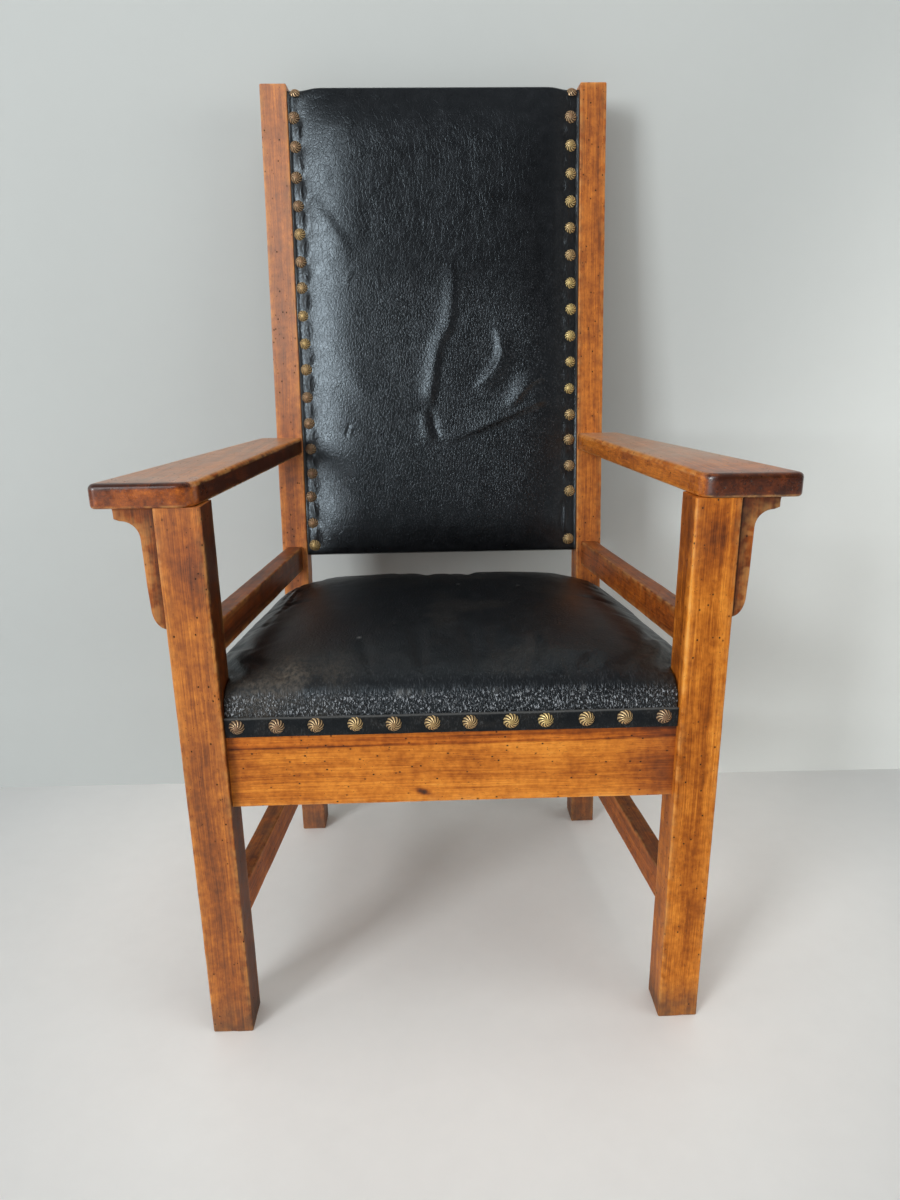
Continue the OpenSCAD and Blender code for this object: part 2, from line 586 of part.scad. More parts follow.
module back_stuffing() color(HAIR) back_at() intersection() {
  back_form(hide_t + 0.15);
  translate([-300, -100, 0]) cube([600, 100 + fy - 3, 900]);
}
module back_nails_left() color(BRASS) back_at() back_nail_row(-1) nail();
module back_nails_right() color(BRASS) back_at() for (i = [0:back_nails - 1]) if (i != lost_nail - 1) back_nail(i, 1) nail();
module back_nails_top() color(BRASS) back_at() for (s = [-1, 1]) back_top_nail(s) nail();

// the cover on the rear of the back, and the tacks round it
cover_y = fy + back_t;
module back_rear_cover() color(HIDE) back_at() difference() {
  translate([-bx + 3, cover_y, fa + 3]) cube([2 * bx - 6, 1.5, fb - fa - 6]);
  for (s = [-1, 1]) flip(s) rear_tacks_side() tack_shank(bore_fit);
  rear_tacks_ends() tack_shank(bore_fit);
}
module rear_tacks_side() for (i = [0:9])
  translate([bx - 11, cover_y + 1.5, fa + 14 + (fb - fa - 28) * i / 9]) rotate([0, 0, 180]) children();
module rear_tacks_ends() for (i = [-2:2], z = [fa + 14, fb - 14])
  translate([i * 70, cover_y + 1.5, z]) rotate([0, 0, 180]) children();
module back_rear_tacks() color(BRASS) back_at() {
  for (s = [-1, 1]) flip(s) rear_tacks_side() tack();
  rear_tacks_ends() tack();
}

front_leg_left();
front_leg_right();
rear_post_left();
rear_post_right();
arm_left();
arm_right();
arm_bracket_left();
arm_bracket_right();
arm_side_rail_left();
arm_side_rail_right();
stretcher_left();
stretcher_right();
seat_rail_front();
seat_rail_rear();
seat_rail_left();
seat_rail_right();
seat_block_front_left();
seat_block_front_right();
seat_block_rear_left();
seat_block_rear_right();
seat_block_screws();
bracket_dowels();
arm_rear_dowels();
back_stile_left();
back_stile_right();
back_rail_top();
back_rail_bottom();
back_frame_screws();
back_webbing_upright();
back_webbing_cross();
back_hessian();
back_stuffing();
back_leather();
back_rear_cover();
back_rear_tacks();
back_nails_left();
back_nails_right();
back_nails_top();
seat_webbing_long();
seat_webbing_cross();
seat_hessian();
seat_stuffing();
seat_leather();
seat_strip_front();
seat_strip_left();
seat_strip_right();
seat_strip_rear();
seat_nails_front();
seat_nails_left();
seat_nails_right();
seat_nails_rear();
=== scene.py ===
import math

import bpy
import numpy as np
from mathutils import Matrix, Vector


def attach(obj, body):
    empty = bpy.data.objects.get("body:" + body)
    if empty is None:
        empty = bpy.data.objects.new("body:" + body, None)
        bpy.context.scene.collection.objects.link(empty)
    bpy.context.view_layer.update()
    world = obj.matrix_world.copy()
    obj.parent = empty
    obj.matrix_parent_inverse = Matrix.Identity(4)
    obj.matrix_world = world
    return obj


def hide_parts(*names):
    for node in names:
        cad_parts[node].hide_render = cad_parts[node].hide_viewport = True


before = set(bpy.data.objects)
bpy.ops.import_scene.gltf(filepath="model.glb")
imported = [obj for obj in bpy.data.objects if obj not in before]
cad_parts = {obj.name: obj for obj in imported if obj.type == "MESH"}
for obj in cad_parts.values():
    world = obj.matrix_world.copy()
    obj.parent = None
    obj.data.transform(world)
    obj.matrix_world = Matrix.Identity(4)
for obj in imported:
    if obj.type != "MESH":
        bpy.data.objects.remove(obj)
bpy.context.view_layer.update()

# ---------------------------------------------------------------- frame of the CAD source
# Lengths below are millimetres in the CAD source's construction frame: X across, Y back from the front of
# the front legs, Z up. to_row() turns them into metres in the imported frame.
Y_MID = 295.5
FX, FXI = 310.0, 260.0            # outer and inner faces of the front legs
PX, PXI = 261.0, 221.0            # outer and inner faces of the rear posts
LEG_W, LEG_D = 50.0, 49.0
POST_W, POST_D = 40.0, 47.0
KNEE, TOP = 430.0, 1215.0
FOOT_Y, KNEE_Y, TOP_Y = 464.0, 448.0, 547.0
ARM_Z, ARM_T = 674.0, 26.0
RAKE = math.atan2(TOP_Y - KNEE_Y, TOP - KNEE)
SX0, SX1, SY0 = 288.0, 239.0, 49.0


def to_row(p):
    q = np.array(p, float) * 1e-3
    q[..., 1] -= Y_MID * 1e-3
    return q


def post_y(z):
    z = np.asarray(z, float)
    low = FOOT_Y + (KNEE_Y - FOOT_Y) * z / KNEE
    high = KNEE_Y + (TOP_Y - KNEE_Y) * (z - KNEE) / (TOP - KNEE)
    return np.where(z < KNEE, low, high)


SY1 = float(post_y(373.0))
YAW = math.atan2(SX0 - SX1, SY1 - SY0)


def side_x(y, off):
    return SX0 - (y - SY0) * (SX0 - SX1) / (SY1 - SY0) + off / math.cos(YAW)


# the leaning frame of the back: x across, y into the back, z up the slope
def back_pt(x, y, z):
    x, y, z = np.broadcast_arrays(np.asarray(x, float), np.asarray(y, float), np.asarray(z, float))
    c, s = math.cos(RAKE), math.sin(RAKE)
    return np.stack([x, KNEE_Y + c * y + s * z, KNEE - s * y + c * z], -1)


BS0 = (512.0 - KNEE) / math.cos(RAKE)
BS1 = (1207.5 - KNEE) / math.cos(RAKE)
BX = 220.5
NAIL_X = 208.8
BACK_SET, BACK_T, HIDE = 3.0, 28.0, 2.0


# ---------------------------------------------------------------- small numeric tools
def smooth(x, a, b):
    t = np.clip((np.asarray(x, float) - a) / (b - a), 0, 1)
    return t * t * (3 - 2 * t)


def gauss(x, s):
    return np.exp(-0.5 * (np.asarray(x, float) / s) ** 2)


def vnoise(p, seed=0):
    """Smooth noise in about -1..1 at points p (n, 3), one cell per unit."""
    p = np.asarray(p, float)
    i = np.floor(p).astype(np.int64)
    f = p - i
    f = f * f * f * (f * (f * 6 - 15) + 10)

    def h(dx, dy, dz):
        n = (i[..., 0] + dx) * 374761393 + (i[..., 1] + dy) * 668265263 + (i[..., 2] + dz) * 1440662683 + seed * 974634777
        n &= 0xFFFFFFFF
        n = ((n ^ (n >> 13)) * 1274126177) & 0xFFFFFFFF
        n = ((n ^ (n >> 16)) * 2246822519) & 0xFFFFFFFF
        return ((n ^ (n >> 15)) & 0xFFFFFF) / float(0xFFFFFF) * 2 - 1

    x, y, z = f[..., 0], f[..., 1], f[..., 2]
    a = h(0, 0, 0) * (1 - x) + h(1, 0, 0) * x
    b = h(0, 1, 0) * (1 - x) + h(1, 1, 0) * x
    c = h(0, 0, 1) * (1 - x) + h(1, 0, 1) * x
    d = h(0, 1, 1) * (1 - x) + h(1, 1, 1) * x
    return ((a * (1 - y) + b * y) * (1 - z) + (c * (1 - y) + d * y) * z)


def fbm(p, seed=0, octaves=3):
    p = np.asarray(p, float)
    total, amp, norm = 0.0, 1.0, 0.0
    for k in range(octaves):
        total = total + amp * vnoise(p * (2.03 ** k) + 17.3 * k, seed + 31 * k)
        norm += amp
        amp *= 0.5
    return total / norm


def rand(seed):
    """One repeatable number from 0 to 1."""
    n = (int(seed) * 2654435761 + 12345) & 0xFFFFFFFF
    n = ((n ^ (n >> 15)) * 2246822519) & 0xFFFFFFFF
    n = ((n ^ (n >> 13)) * 3266489917) & 0xFFFFFFFF
    return ((n ^ (n >> 16)) & 0xFFFFFF) / float(0xFFFFFF)


def to_line(x, z, line):
    """Signed distance from points to a polyline, positive on its left as it runs, and the share of its length."""
    best = np.full(np.shape(x), 1e9)
    side = np.ones(np.shape(x))
    share = np.zeros(np.shape(x))
    pts = np.array(line, float)
    seg = np.linalg.norm(np.diff(pts, axis=0), axis=1)
    total = seg.sum()
    run = 0.0
    for k in range(len(pts) - 1):
        a, b = pts[k], pts[k + 1]
        d = (b - a) / seg[k]
        px, pz = x - a[0], z - a[1]
        t = np.clip(px * d[0] + pz * d[1], 0, seg[k])
        qx, qz = px - t * d[0], pz - t * d[1]
        r = np.hypot(qx, qz)
        near = r < best
        best = np.where(near, r, best)
        side = np.where(near, np.sign(d[0] * pz - d[1] * px), side)
        share = np.where(near, (run + t) / total, share)
        run += seg[k]
    return best * side, share


def curve_through(points, per=8):
    """A smooth line through the given points (Catmull-Rom)."""
    p = np.array(points, float)
    q = np.vstack([2 * p[0] - p[1], p, 2 * p[-1] - p[-2]])
    out = []
    for k in range(1, len(q) - 2):
        for t in np.linspace(0, 1, per, endpoint=False):
            a, b, c, d = q[k - 1], q[k], q[k + 1], q[k + 2]
            out.append(0.5 * (2 * b + (c - a) * t + (2 * a - 5 * b + 4 * c - d) * t * t + (3 * b - a - 3 * c + d) * t ** 3))
    out.append(p[-1])
    return np.array(out)


# ---------------------------------------------------------------- meshes
def make(name, verts, faces, attrs=None, material=None, flat=False):
    """A mesh piece from points in the construction frame."""
    me = bpy.data.meshes.new(name)
    me.from_pydata(to_row(verts).tolist(), [], faces if isinstance(faces, list) else np.asarray(faces).tolist())
    me.update()
    for key, val in (attrs or {}).items():
        val = np.asarray(val, np.float32)
        if val.ndim == 0:
            val = np.full(len(verts), val, np.float32)
        if val.ndim == 2:
            a = me.attributes.new(key, "FLOAT_VECTOR", "POINT")
            a.data.foreach_set("vector", val.ravel())
        else:
            a = me.attributes.new(key, "FLOAT", "POINT")
            a.data.foreach_set("value", val.ravel())
    if not flat:
        me.polygons.foreach_set("use_smooth", [True] * len(me.polygons))
    ob = bpy.data.objects.new(name, me)
    bpy.context.scene.collection.objects.link(ob)
    if material:
        me.materials.append(material)
    return ob


def outward(faces, verts):
    """The faces, turned so that the closed mesh's volume is positive."""
    v = np.asarray(verts, float)
    vol = 0.0
    for f in faces:
        a = v[f[0]]
        for k in range(1, len(f) - 1):
            vol += np.dot(a, np.cross(v[f[k]], v[f[k + 1]]))
    return faces if vol > 0 else [list(f)[::-1] for f in faces]


def lattice_box(la, lb, lc):
    """Surface lattice of a box. Returns points (n, 3) and quads, facing outwards."""
    la, lb, lc = (np.asarray(x, float) for x in (la, lb, lc))
    na, nb, nc = len(la), len(lb), len(lc)
    key = {}
    pts, quads = [], []

    def vid(i, j, k):
        t = (i, j, k)
        if t not in key:
            key[t] = len(pts)
            pts.append((la[i], lb[j], lc[k]))
        return key[t]

    for j in range(nb - 1):
        for k in range(nc - 1):
            quads.append((vid(0, j, k), vid(0, j, k + 1), vid(0, j + 1, k + 1), vid(0, j + 1, k)))
            quads.append((vid(na - 1, j, k), vid(na - 1, j + 1, k), vid(na - 1, j + 1, k + 1), vid(na - 1, j, k + 1)))
    for i in range(na - 1):
        for k in range(nc - 1):
            quads.append((vid(i, 0, k), vid(i + 1, 0, k), vid(i + 1, 0, k + 1), vid(i, 0, k + 1)))
            quads.append((vid(i, nb - 1, k), vid(i, nb - 1, k + 1), vid(i + 1, nb - 1, k + 1), vid(i + 1, nb - 1, k)))
    for i in range(na - 1):
        for j in range(nb - 1):
            quads.append((vid(i, j, 0), vid(i, j + 1, 0), vid(i + 1, j + 1, 0), vid(i + 1, j, 0)))
            quads.append((vid(i, j, nc - 1), vid(i + 1, j, nc - 1), vid(i + 1, j + 1, nc - 1), vid(i, j + 1, nc - 1)))
    return np.array(pts), quads


def lines(h, r, step):
    t = [r * math.tan(math.radians(a)) for a in (0, 15, 30)] + [r]
    inner = h - r
    n = max(2, int(round(2 * inner / step)))
    mid = np.linspace(-inner, inner, n + 1)
    if inner > 8:                              # a closer line beside each edge
        mid = np.concatenate([mid[:1], [-inner + 1.6], mid[1:-1], [inner - 1.6], mid[-1:]])
    return np.concatenate([[-(inner + x) for x in t[:0:-1]], mid, [inner + x for x in t[1:]]])


def worn_bar(name, length, w, h, place, material, seed, radius=2.2, radius_at=None, step=7.0, tone=None, replaces=(),
             grain=(0, 0, 0), wobble=0.3, butt=(False, False), step_h=None):
    """A straight or bent bar with worn edges. a runs along it, b across its width w, c through its depth h.
    place(a, b, c) gives the point; radius_at(a, sign b, sign c) the worn radius of each long edge."""
    rmax = radius if radius_at is None else max(radius, 5.0)
    pts, quads = lattice_box(lines(length / 2, min(rmax, radius), step), lines(w / 2, rmax, step), lines(h / 2, rmax, step_h or step))
    half = np.array([length / 2, w / 2, h / 2])
    a = pts[:, 0] + length / 2
    r = np.full(len(pts), float(radius)) if radius_at is None else radius_at(a, np.sign(pts[:, 1]), np.sign(pts[:, 2]))
    # edges wear unevenly
    corner = np.stack([a / 34.0, np.sign(pts[:, 1]) * 3.1 + seed, np.sign(pts[:, 2]) * 5.7], -1)
    r = np.clip(r * (1 + 0.28 * fbm(corner, seed, 2)), 0.5, rmax)
    square = np.where(pts[:, 0] > 0, float(butt[1]), float(butt[0]))      # this end butts against another piece
    r3 = np.column_stack([r * (1 - 0.9 * square), r, r])
    c = np.clip(pts, -(half - r3), half - r3)
    d = pts - c
    n = np.linalg.norm(d, axis=1, keepdims=True)
    nrm = d / np.maximum(n, 1e-9)
    p = c + np.minimum(r[:, None], n) * nrm if square.any() else c + r[:, None] * nrm
    gap = half - np.abs(pts)
    gap[:, 0] += 50.0 * square
    gap = np.sort(gap, axis=1)
    ed = np.exp(-gap[:, 1] / 3.2)
    q = np.stack([a, pts[:, 1] + 31.7 * seed, pts[:, 2] + 11.3 * seed], -1)
    p = p + nrm * (wobble * fbm(q / 55.0, seed + 5, 2) - 0.45 * ed * np.maximum(0, fbm(q / 9.0, seed + 9, 2) - 0.12))[:, None]
    v = place(p[:, 0] + length / 2, p[:, 1], p[:, 2])
    wc = np.stack([a, pts[:, 1], pts[:, 2]], -1) * 1e-3 + np.array([rand(seed) * 7, rand(seed + 1) * 7, rand(seed + 2) * 7]) + np.array(grain)
    at = {"wc": wc, "ed": ed, "tone": np.zeros(len(pts)), "dirt": np.zeros(len(pts)), "red": np.zeros(len(pts))}
    for key, val in (tone(a, pts[:, 1], pts[:, 2], v) if tone else {}).items():
        at[key] = np.broadcast_to(val, (len(pts),))
    ob = make(name, v, outward(quads, v), at, material)
    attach(ob, "root")
    if replaces:
        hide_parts(*replaces)
    return ob


# ---------------------------------------------------------------- materials
class Shader:
    """A material's node tree, built by short calls."""

    def __init__(self, name):
        self.mat = bpy.data.materials.new(name)
        self.mat.use_nodes = True
        self.t = self.mat.node_tree
        self.t.nodes.clear()
        out = self.t.nodes.new("ShaderNodeOutputMaterial")
        self.bsdf = self.t.nodes.new("ShaderNodeBsdfPrincipled")
        self.t.links.new(self.bsdf.outputs["BSDF"], out.inputs["Surface"])

    def _set(self, sock, val):
        if isinstance(val, bpy.types.NodeSocket):
            self.t.links.new(val, sock)
        elif val is not None:
            if sock.type == "RGBA" and len(val) == 3:
                val = (*val, 1.0)
            sock.default_value = val

    def node(self, kind, ins=None, out=0, **props):
        n = self.t.nodes.new(kind)
        for k, v in props.items():
            setattr(n, k, v)
        for k, v in (ins or {}).items():
            self._set(n.inputs[k], v)
        return n.outputs[out]

    def set(self, **ins):
        for k, v in ins.items():
            self._set(self.bsdf.inputs[k.replace("_", " ")], v)
        return self.mat

    def attr(self, name, vector=False):
        return self.node("ShaderNodeAttribute", out="Vector" if vector else "Fac", attribute_name=name)

    def m(self, op, a, b=None, c=None, clamp=False):
        n = self.t.nodes.new("ShaderNodeMath")
        n.operation, n.use_clamp = op, clamp
        for i, v in enumerate((a, b, c)):
            if v is not None:
                self._set(n.inputs[i], v)
        return n.outputs[0]

    def v(self, op, a, b=None, out=0):
        n = self.t.nodes.new("ShaderNodeVectorMath")
        n.operation = op
        self._set(n.inputs[0], a)
        if b is not None:
            self._set(n.inputs["Scale"] if op == "SCALE" else n.inputs[1], b)
        return n.outputs[out]

    def noise(self, vec, scale=1.0, detail=2.0, rough=0.5, distortion=0.0, out="Fac"):
        return self.node("ShaderNodeTexNoise", {"Vector": vec, "Scale": scale, "Detail": detail, "Roughness": rough, "Distortion": distortion}, out=out)

    def voronoi(self, vec, scale=1.0, feature="F1", out="Distance", rnd=1.0):
        return self.node("ShaderNodeTexVoronoi", {"Vector": vec, "Scale": scale, "Randomness": rnd}, out=out, feature=feature)

    def mr(self, x, a, b, c=0.0, d=1.0, kind="SMOOTHSTEP"):
        return self.node("ShaderNodeMapRange", {0: x, 1: a, 2: b, 3: c, 4: d}, interpolation_type=kind, clamp=True)

    def mix(self, fac, a, b, blend="MIX"):
        n = self.t.nodes.new("ShaderNodeMix")
        n.data_type, n.blend_type, n.clamp_factor = "RGBA", blend, True
        self._set(n.inputs[0], fac)
        self._set(n.inputs[6], a)
        self._set(n.inputs[7], b)
        return n.outputs[2]

    def ramp(self, fac, stops, kind="LINEAR"):
        n = self.t.nodes.new("ShaderNodeValToRGB")
        n.color_ramp.interpolation = kind
        el = n.color_ramp.elements
        while len(el) > 1:
            el.remove(el[-1])
        for k, (pos, col) in enumerate(stops):
            e = el[0] if k == 0 else el.new(pos)
            e.position = pos
            e.color = (*col, 1.0) if hasattr(col, "__len__") else (col, col, col, 1.0)
        self._set(n.inputs[0], fac)
        return n.outputs[0]

    def bump(self, height, strength=0.5, distance=0.001, normal=None):
        ins = {"Height": height, "Strength": strength, "Distance": distance}
        if normal is not None:
            ins["Normal"] = normal
        return self.node("ShaderNodeBump", ins)

    def obj(self):
        return self.node("ShaderNodeTexCoord", out="Object")


def wood_material():
    s = Shader("stained_wood")
    wc = s.attr("wc", True)
    ed, tone, dirt, red = (s.attr(k) for k in ("ed", "tone", "dirt", "red"))
    # a slow wander, so that the grain isn't ruled
    wander = s.noise(s.v("MULTIPLY", wc, (3.0, 9.0, 9.0)), 1.0, 2.0, 0.5, out="Color")
    wander = s.v("SCALE", s.v("SUBTRACT", wander, (0.5, 0.5, 0.5)), 0.012)
    g = s.v("ADD", wc, wander)
    figure = s.noise(s.v("MULTIPLY", g, (2.2, 60.0, 60.0)), 1.0, 3.0, 0.55)
    bands = s.noise(s.v("MULTIPLY", g, (4.0, 300.0, 300.0)), 1.0, 3.0, 0.68)
    fibre = s.noise(s.v("MULTIPLY", g, (16.0, 900.0, 900.0)), 1.0, 2.0, 0.7)
    streak = s.noise(s.v("MULTIPLY", g, (1.3, 34.0, 34.0)), 1.0, 2.0, 0.5)
    pores = s.noise(s.v("MULTIPLY", g, (170.0, 2100.0, 2100.0)), 1.0, 1.0, 0.5)
    blotch = s.noise(wc, 24.0, 3.0, 0.6)
    mottle = s.noise(wc, 120.0, 2.0, 0.6)
    v = s.m("ADD", s.m("MULTIPLY", figure, 0.32), s.m("MULTIPLY", bands, 0.30))
    v = s.m("ADD", v, s.m("MULTIPLY", fibre, 0.32))
    v = s.m("ADD", v, s.m("MULTIPLY", blotch, 0.26))
    v = s.m("ADD", v, s.m("MULTIPLY", s.m("SUBTRACT", mottle, 0.5), 0.24))
    v = s.m("ADD", s.m("MULTIPLY", s.m("SUBTRACT", v, 0.60), 1.15), 0.605)
    v = s.m("SUBTRACT", v, s.m("MULTIPLY", tone, 0.40))
    base = s.ramp(v, [(0.16, (0.040, 0.009, 0.002)), (0.34, (0.140, 0.033, 0.005)), (0.48, (0.32, 0.082, 0.008)), (0.60, (0.53, 0.160, 0.016)),
                      (0.74, (0.74, 0.265, 0.032)), (0.9, (0.80, 0.36, 0.065))])
    dark_line = s.mr(streak, 0.60, 0.72, 0.0, 0.40)
    base = s.mix(dark_line, base, s.mix(0.5, base, (0.10, 0.028, 0.008), "MIX"))
    base = s.mix(s.m("MULTIPLY", red, 0.75), base, s.mix(1.0, base, (0.95, 0.66, 0.55), "MULTIPLY"))
    # painted sheen: a pale pinkish wash standing in for the window's reflection on the varnish, mostly on the left post
    base = s.mix(s.attr("haze"), base, (0.55, 0.40, 0.32))
    # a grey-beige wash in clouds on the arm tops: partly the faded, dusty finish, partly painted sheen standing in for
    # the wall's reflection at a grazing angle
    cloud = s.mr(s.noise(wc, 26.0, 4.0, 0.62), 0.30, 0.70, 0.72, 1.0)
    base = s.mix(s.m("MULTIPLY", s.attr("bloom"), cloud), base, (0.52, 0.40, 0.29))
    # short dark pores
    pore = s.mr(pores, 0.64, 0.72)
    base = s.mix(s.m("MULTIPLY", pore, 0.55), base, (0.06, 0.02, 0.007))
    # worn, cleaner edges
    wear = s.m("MULTIPLY", ed, s.mr(s.noise(wc, 75.0, 2.0, 0.6), 0.35, 0.62))
    base = s.mix(s.m("MULTIPLY", wear, 0.45), base, (0.80, 0.40, 0.12))
    # woodworm holes, some drawn out along the grain
    near = s.mr(s.noise(wc, 11.0, 1.0, 0.5), 0.40, 0.60, 0.25, 1.0)
    hole_v = s.v("MULTIPLY", wc, (0.8, 1.0, 1.0))
    d1 = s.voronoi(hole_v, 118.0)
    c1 = s.node("ShaderNodeSeparateColor", {0: s.voronoi(hole_v, 118.0, out="Color")})
    keep1 = s.m("LESS_THAN", c1, s.m("MULTIPLY", near, 0.95))
    hole = s.m("MULTIPLY", s.mr(d1, 0.085, 0.125, 1.0, 0.0), keep1)
    d2 = s.voronoi(wc, 210.0)
    c2 = s.node("ShaderNodeSeparateColor", {0: s.voronoi(wc, 210.0, out="Color")})
    speck = s.m("MULTIPLY", s.mr(d2, 0.09, 0.15, 1.0, 0.0), s.m("LESS_THAN", c2, s.m("MULTIPLY", near, 0.34)))
    pit = s.m("MAXIMUM", hole, s.m("MULTIPLY", speck, 0.8))
    halo = s.m("MULTIPLY", s.mr(d1, 0.08, 0.26, 0.28, 0.0), keep1)
    base = s.mix(halo, base, (0.09, 0.03, 0.01))
    base = s.mix(s.m("MULTIPLY", pit, 0.93), base, (0.012, 0.006, 0.003))
    # grime
    g1 = s.m("MULTIPLY", dirt, s.mr(s.noise(wc, 42.0, 3.0, 0.65), 0.25, 0.75, 0.45, 1.0))
    base = s.mix(g1, base, (0.075, 0.055, 0.042))
    rough = s.m("ADD", s.m("MULTIPLY", s.noise(wc, 60.0, 3.0, 0.6), 0.22), 0.33)
    rough = s.m("ADD", rough, s.m("MULTIPLY", g1, 0.30))
    rough = s.m("ADD", rough, s.m("MULTIPLY", pit, 0.3))
    rough = s.m("SUBTRACT", rough, s.m("MULTIPLY", s.attr("gloss"), 0.16))
    hgt = s.m("ADD", s.m("MULTIPLY", fibre, 0.35), s.m("MULTIPLY", bands, 0.5))
    hgt = s.m("SUBTRACT", hgt, s.m("MULTIPLY", pore, 0.5))
    n1 = s.bump(hgt, 0.30, 0.00025)
    n2 = s.bump(s.m("SUBTRACT", s.m("MULTIPLY", s.noise(wc, 70.0, 3.0, 0.6), 0.6), s.m("MULTIPLY", pit, 2.0)), 0.45, 0.0006, n1)
    spec = s.m("ADD", 0.16, s.m("MULTIPLY", s.attr("gloss"), 0.52))
    return s.set(Base_Color=base, Roughness=rough, Normal=n2, Specular_IOR_Level=spec)


def plain_wood_material():
    s = Shader("plain_wood")
    p = s.obj()
    fib = s.noise(s.v("MULTIPLY", p, (45.0, 420.0, 420.0)), 1.0, 3.0, 0.6)
    band = s.noise(s.v("MULTIPLY", p, (6.0, 75.0, 75.0)), 1.0, 3.0, 0.6)
    v = s.m("ADD", s.m("MULTIPLY", fib, 0.45), s.m("MULTIPLY", band, 0.55))
    base = s.ramp(v, [(0.30, (0.15, 0.075, 0.032)), (0.50, (0.36, 0.20, 0.092)), (0.70, (0.52, 0.33, 0.17))])
    d1 = s.voronoi(p, 110.0)
    hole = s.mr(d1, 0.05, 0.10, 0.85, 0.0)
    base = s.mix(hole, base, (0.03, 0.016, 0.008))
    dust = s.mr(s.noise(p, 16.0, 4.0, 0.6), 0.42, 0.7, 0.0, 0.55)
    base = s.mix(dust, base, (0.20, 0.165, 0.125))
    nrm = s.bump(v, 0.6, 0.0006)
    return s.set(Base_Color=base, Roughness=s.m("ADD", s.m("MULTIPLY", fib, 0.2), 0.62), Normal=nrm, Specular_IOR_Level=0.3)


def leather_material(name, back=False, seat=False, strip=False):
    s = Shader(name)
    p = s.attr("lc", True)                # where the hide lies flat, in metres
    grain_amt = s.attr("pebble")
    crackle = s.attr("crackle")
    dust = s.attr("dust")
    pale = s.attr("pale")
    dark = s.attr("dark")
    bent = s.v("ADD", p, s.v("SCALE", s.noise(p, 260.0, 2.0, 0.5, out="Color"), 0.0030))
    cell = s.voronoi(bent, 290.0 if back else 250.0)
    cell2 = s.voronoi(s.v("MULTIPLY", bent, (1.0, 0.55, 1.0)), 250.0, feature="DISTANCE_TO_EDGE")
    fine = s.noise(p, 1500.0, 2.0, 0.6)
    patch = s.noise(p, 60.0, 3.0, 0.6)
    # a net of fine wrinkles, longer up the hide than across
    loose = s.v("ADD", p, s.v("SCALE", s.noise(p, 55.0, 3.0, 0.55, out="Color"), 0.014))
    net1 = s.voronoi(s.v("MULTIPLY", loose, (1.0, 0.48, 1.0)), 150.0, feature="DISTANCE_TO_EDGE")
    net2 = s.voronoi(s.v("MULTIPLY", s.node("ShaderNodeVectorRotate", {"Vector": loose, "Angle": 0.7}, rotation_type="Z_AXIS"), (1.0, 0.40, 1.0)), 230.0, feature="DISTANCE_TO_EDGE")
    fold = s.m("ADD", s.mr(net1, 0.0, 0.10), s.m("MULTIPLY", s.mr(net2, 0.0, 0.14), 0.6))
    ridge = s.mr(cell, 0.12, 0.66, 1.0, 0.0)
    ridge2 = s.mr(cell2, 0.0, 0.16)
    crack = s.m("ADD", s.m("MULTIPLY", ridge, 0.3), ridge2)
    base = s.ramp(patch, [(0.25, (0.0035, 0.0035, 0.0039)), (0.55, (0.0055, 0.0055, 0.0061)), (0.8, (0.0095, 0.0095, 0.0108))])
    base = s.mix(s.m("MULTIPLY", s.m("SUBTRACT", 1.0, ridge2), s.m("MULTIPLY", crackle, 0.6)), base, (0.003, 0.003, 0.003))
    # painted glints: the pebbles' tops made paler, standing in for highlights on the grain
    glint_tops = s.m("MULTIPLY", s.m("MULTIPLY", s.mr(cell, 0.14, 0.34, 1.0, 0.0), grain_amt), s.mr(s.noise(p, 150.0, 2.0, 0.6), 0.35, 0.65))
    base = s.mix(s.m("MULTIPLY", glint_tops, 0.75 if back else 0.35), base, (0.078, 0.083, 0.092) if back else (0.030, 0.032, 0.036))
    # painted glints: pale grey strokes where the crackle attribute is set, standing in for highlights on the crackled
    # hide
    strokes = s.noise(s.v("MULTIPLY", bent, (1.0, 0.30, 1.0)), 600.0, 3.0, 0.7)
    glint = s.m("MULTIPLY", s.m("MULTIPLY", crackle, s.mr(strokes, 0.55, 0.61)), s.mr(s.noise(p, 70.0, 2.0, 0.6), 0.30, 0.55, 0.25, 1.0))
    base = s.mix(s.m("MULTIPLY", glint, 0.11 if back else (0.35 if strip else 1.0)), base, (0.385, 0.405, 0.430))
    base = s.mix(s.m("MULTIPLY", dust, s.mr(s.noise(p, 190.0, 4.0, 0.7), 0.36, 0.66, 0.25, 1.0)), base, (0.125, 0.100, 0.074))
    # painted highlights: the pale value marks a thin line along the back's turned edge, the strip's top edge and the
    # seat roll's crest; it also holds small pale spots on the seat top
    base = s.mix(pale, base, (0.30, 0.30, 0.29))
    # painted shade: the dark value marks the fold beside each post on the back and the tear's slit
    base = s.mix(dark, base, (0.002, 0.002, 0.002))
    rough = s.m("ADD", 0.28 if back else 0.33, s.m("MULTIPLY", s.m("SUBTRACT", patch, 0.5), 0.16))
    rough = s.m("ADD", rough, s.m("MULTIPLY", dust, 0.35))
    rough = s.m("ADD", rough, s.m("MULTIPLY", s.attr("dull"), 0.12))
    # heights in millimetres
    height = s.m("ADD", s.m("MULTIPLY", fine, 0.012), s.m("MULTIPLY", s.m("MULTIPLY", ridge, grain_amt), 0.21 if back else 0.30))
    height = s.m("ADD", height, s.m("MULTIPLY", s.m("MULTIPLY", fold, s.m("SUBTRACT", 1.15, grain_amt)), 0.105 if back else 0.10))
    height = s.m("ADD", height, s.m("MULTIPLY", s.m("MULTIPLY", crack, crackle), 0.36 if back else 0.70))
    height = s.m("ADD", height, s.m("MULTIPLY", s.noise(p, 42.0, 2.0, 0.5), 0.14 if back else 0.30))
    n3 = s.bump(height, 1.0, 0.001)
    return s.set(Base_Color=base, Roughness=rough, Normal=n3, Specular_Tint=(0.78, 0.91, 1.0), Specular_IOR_Level=0.70 if back else (0.24 if strip else 0.52))


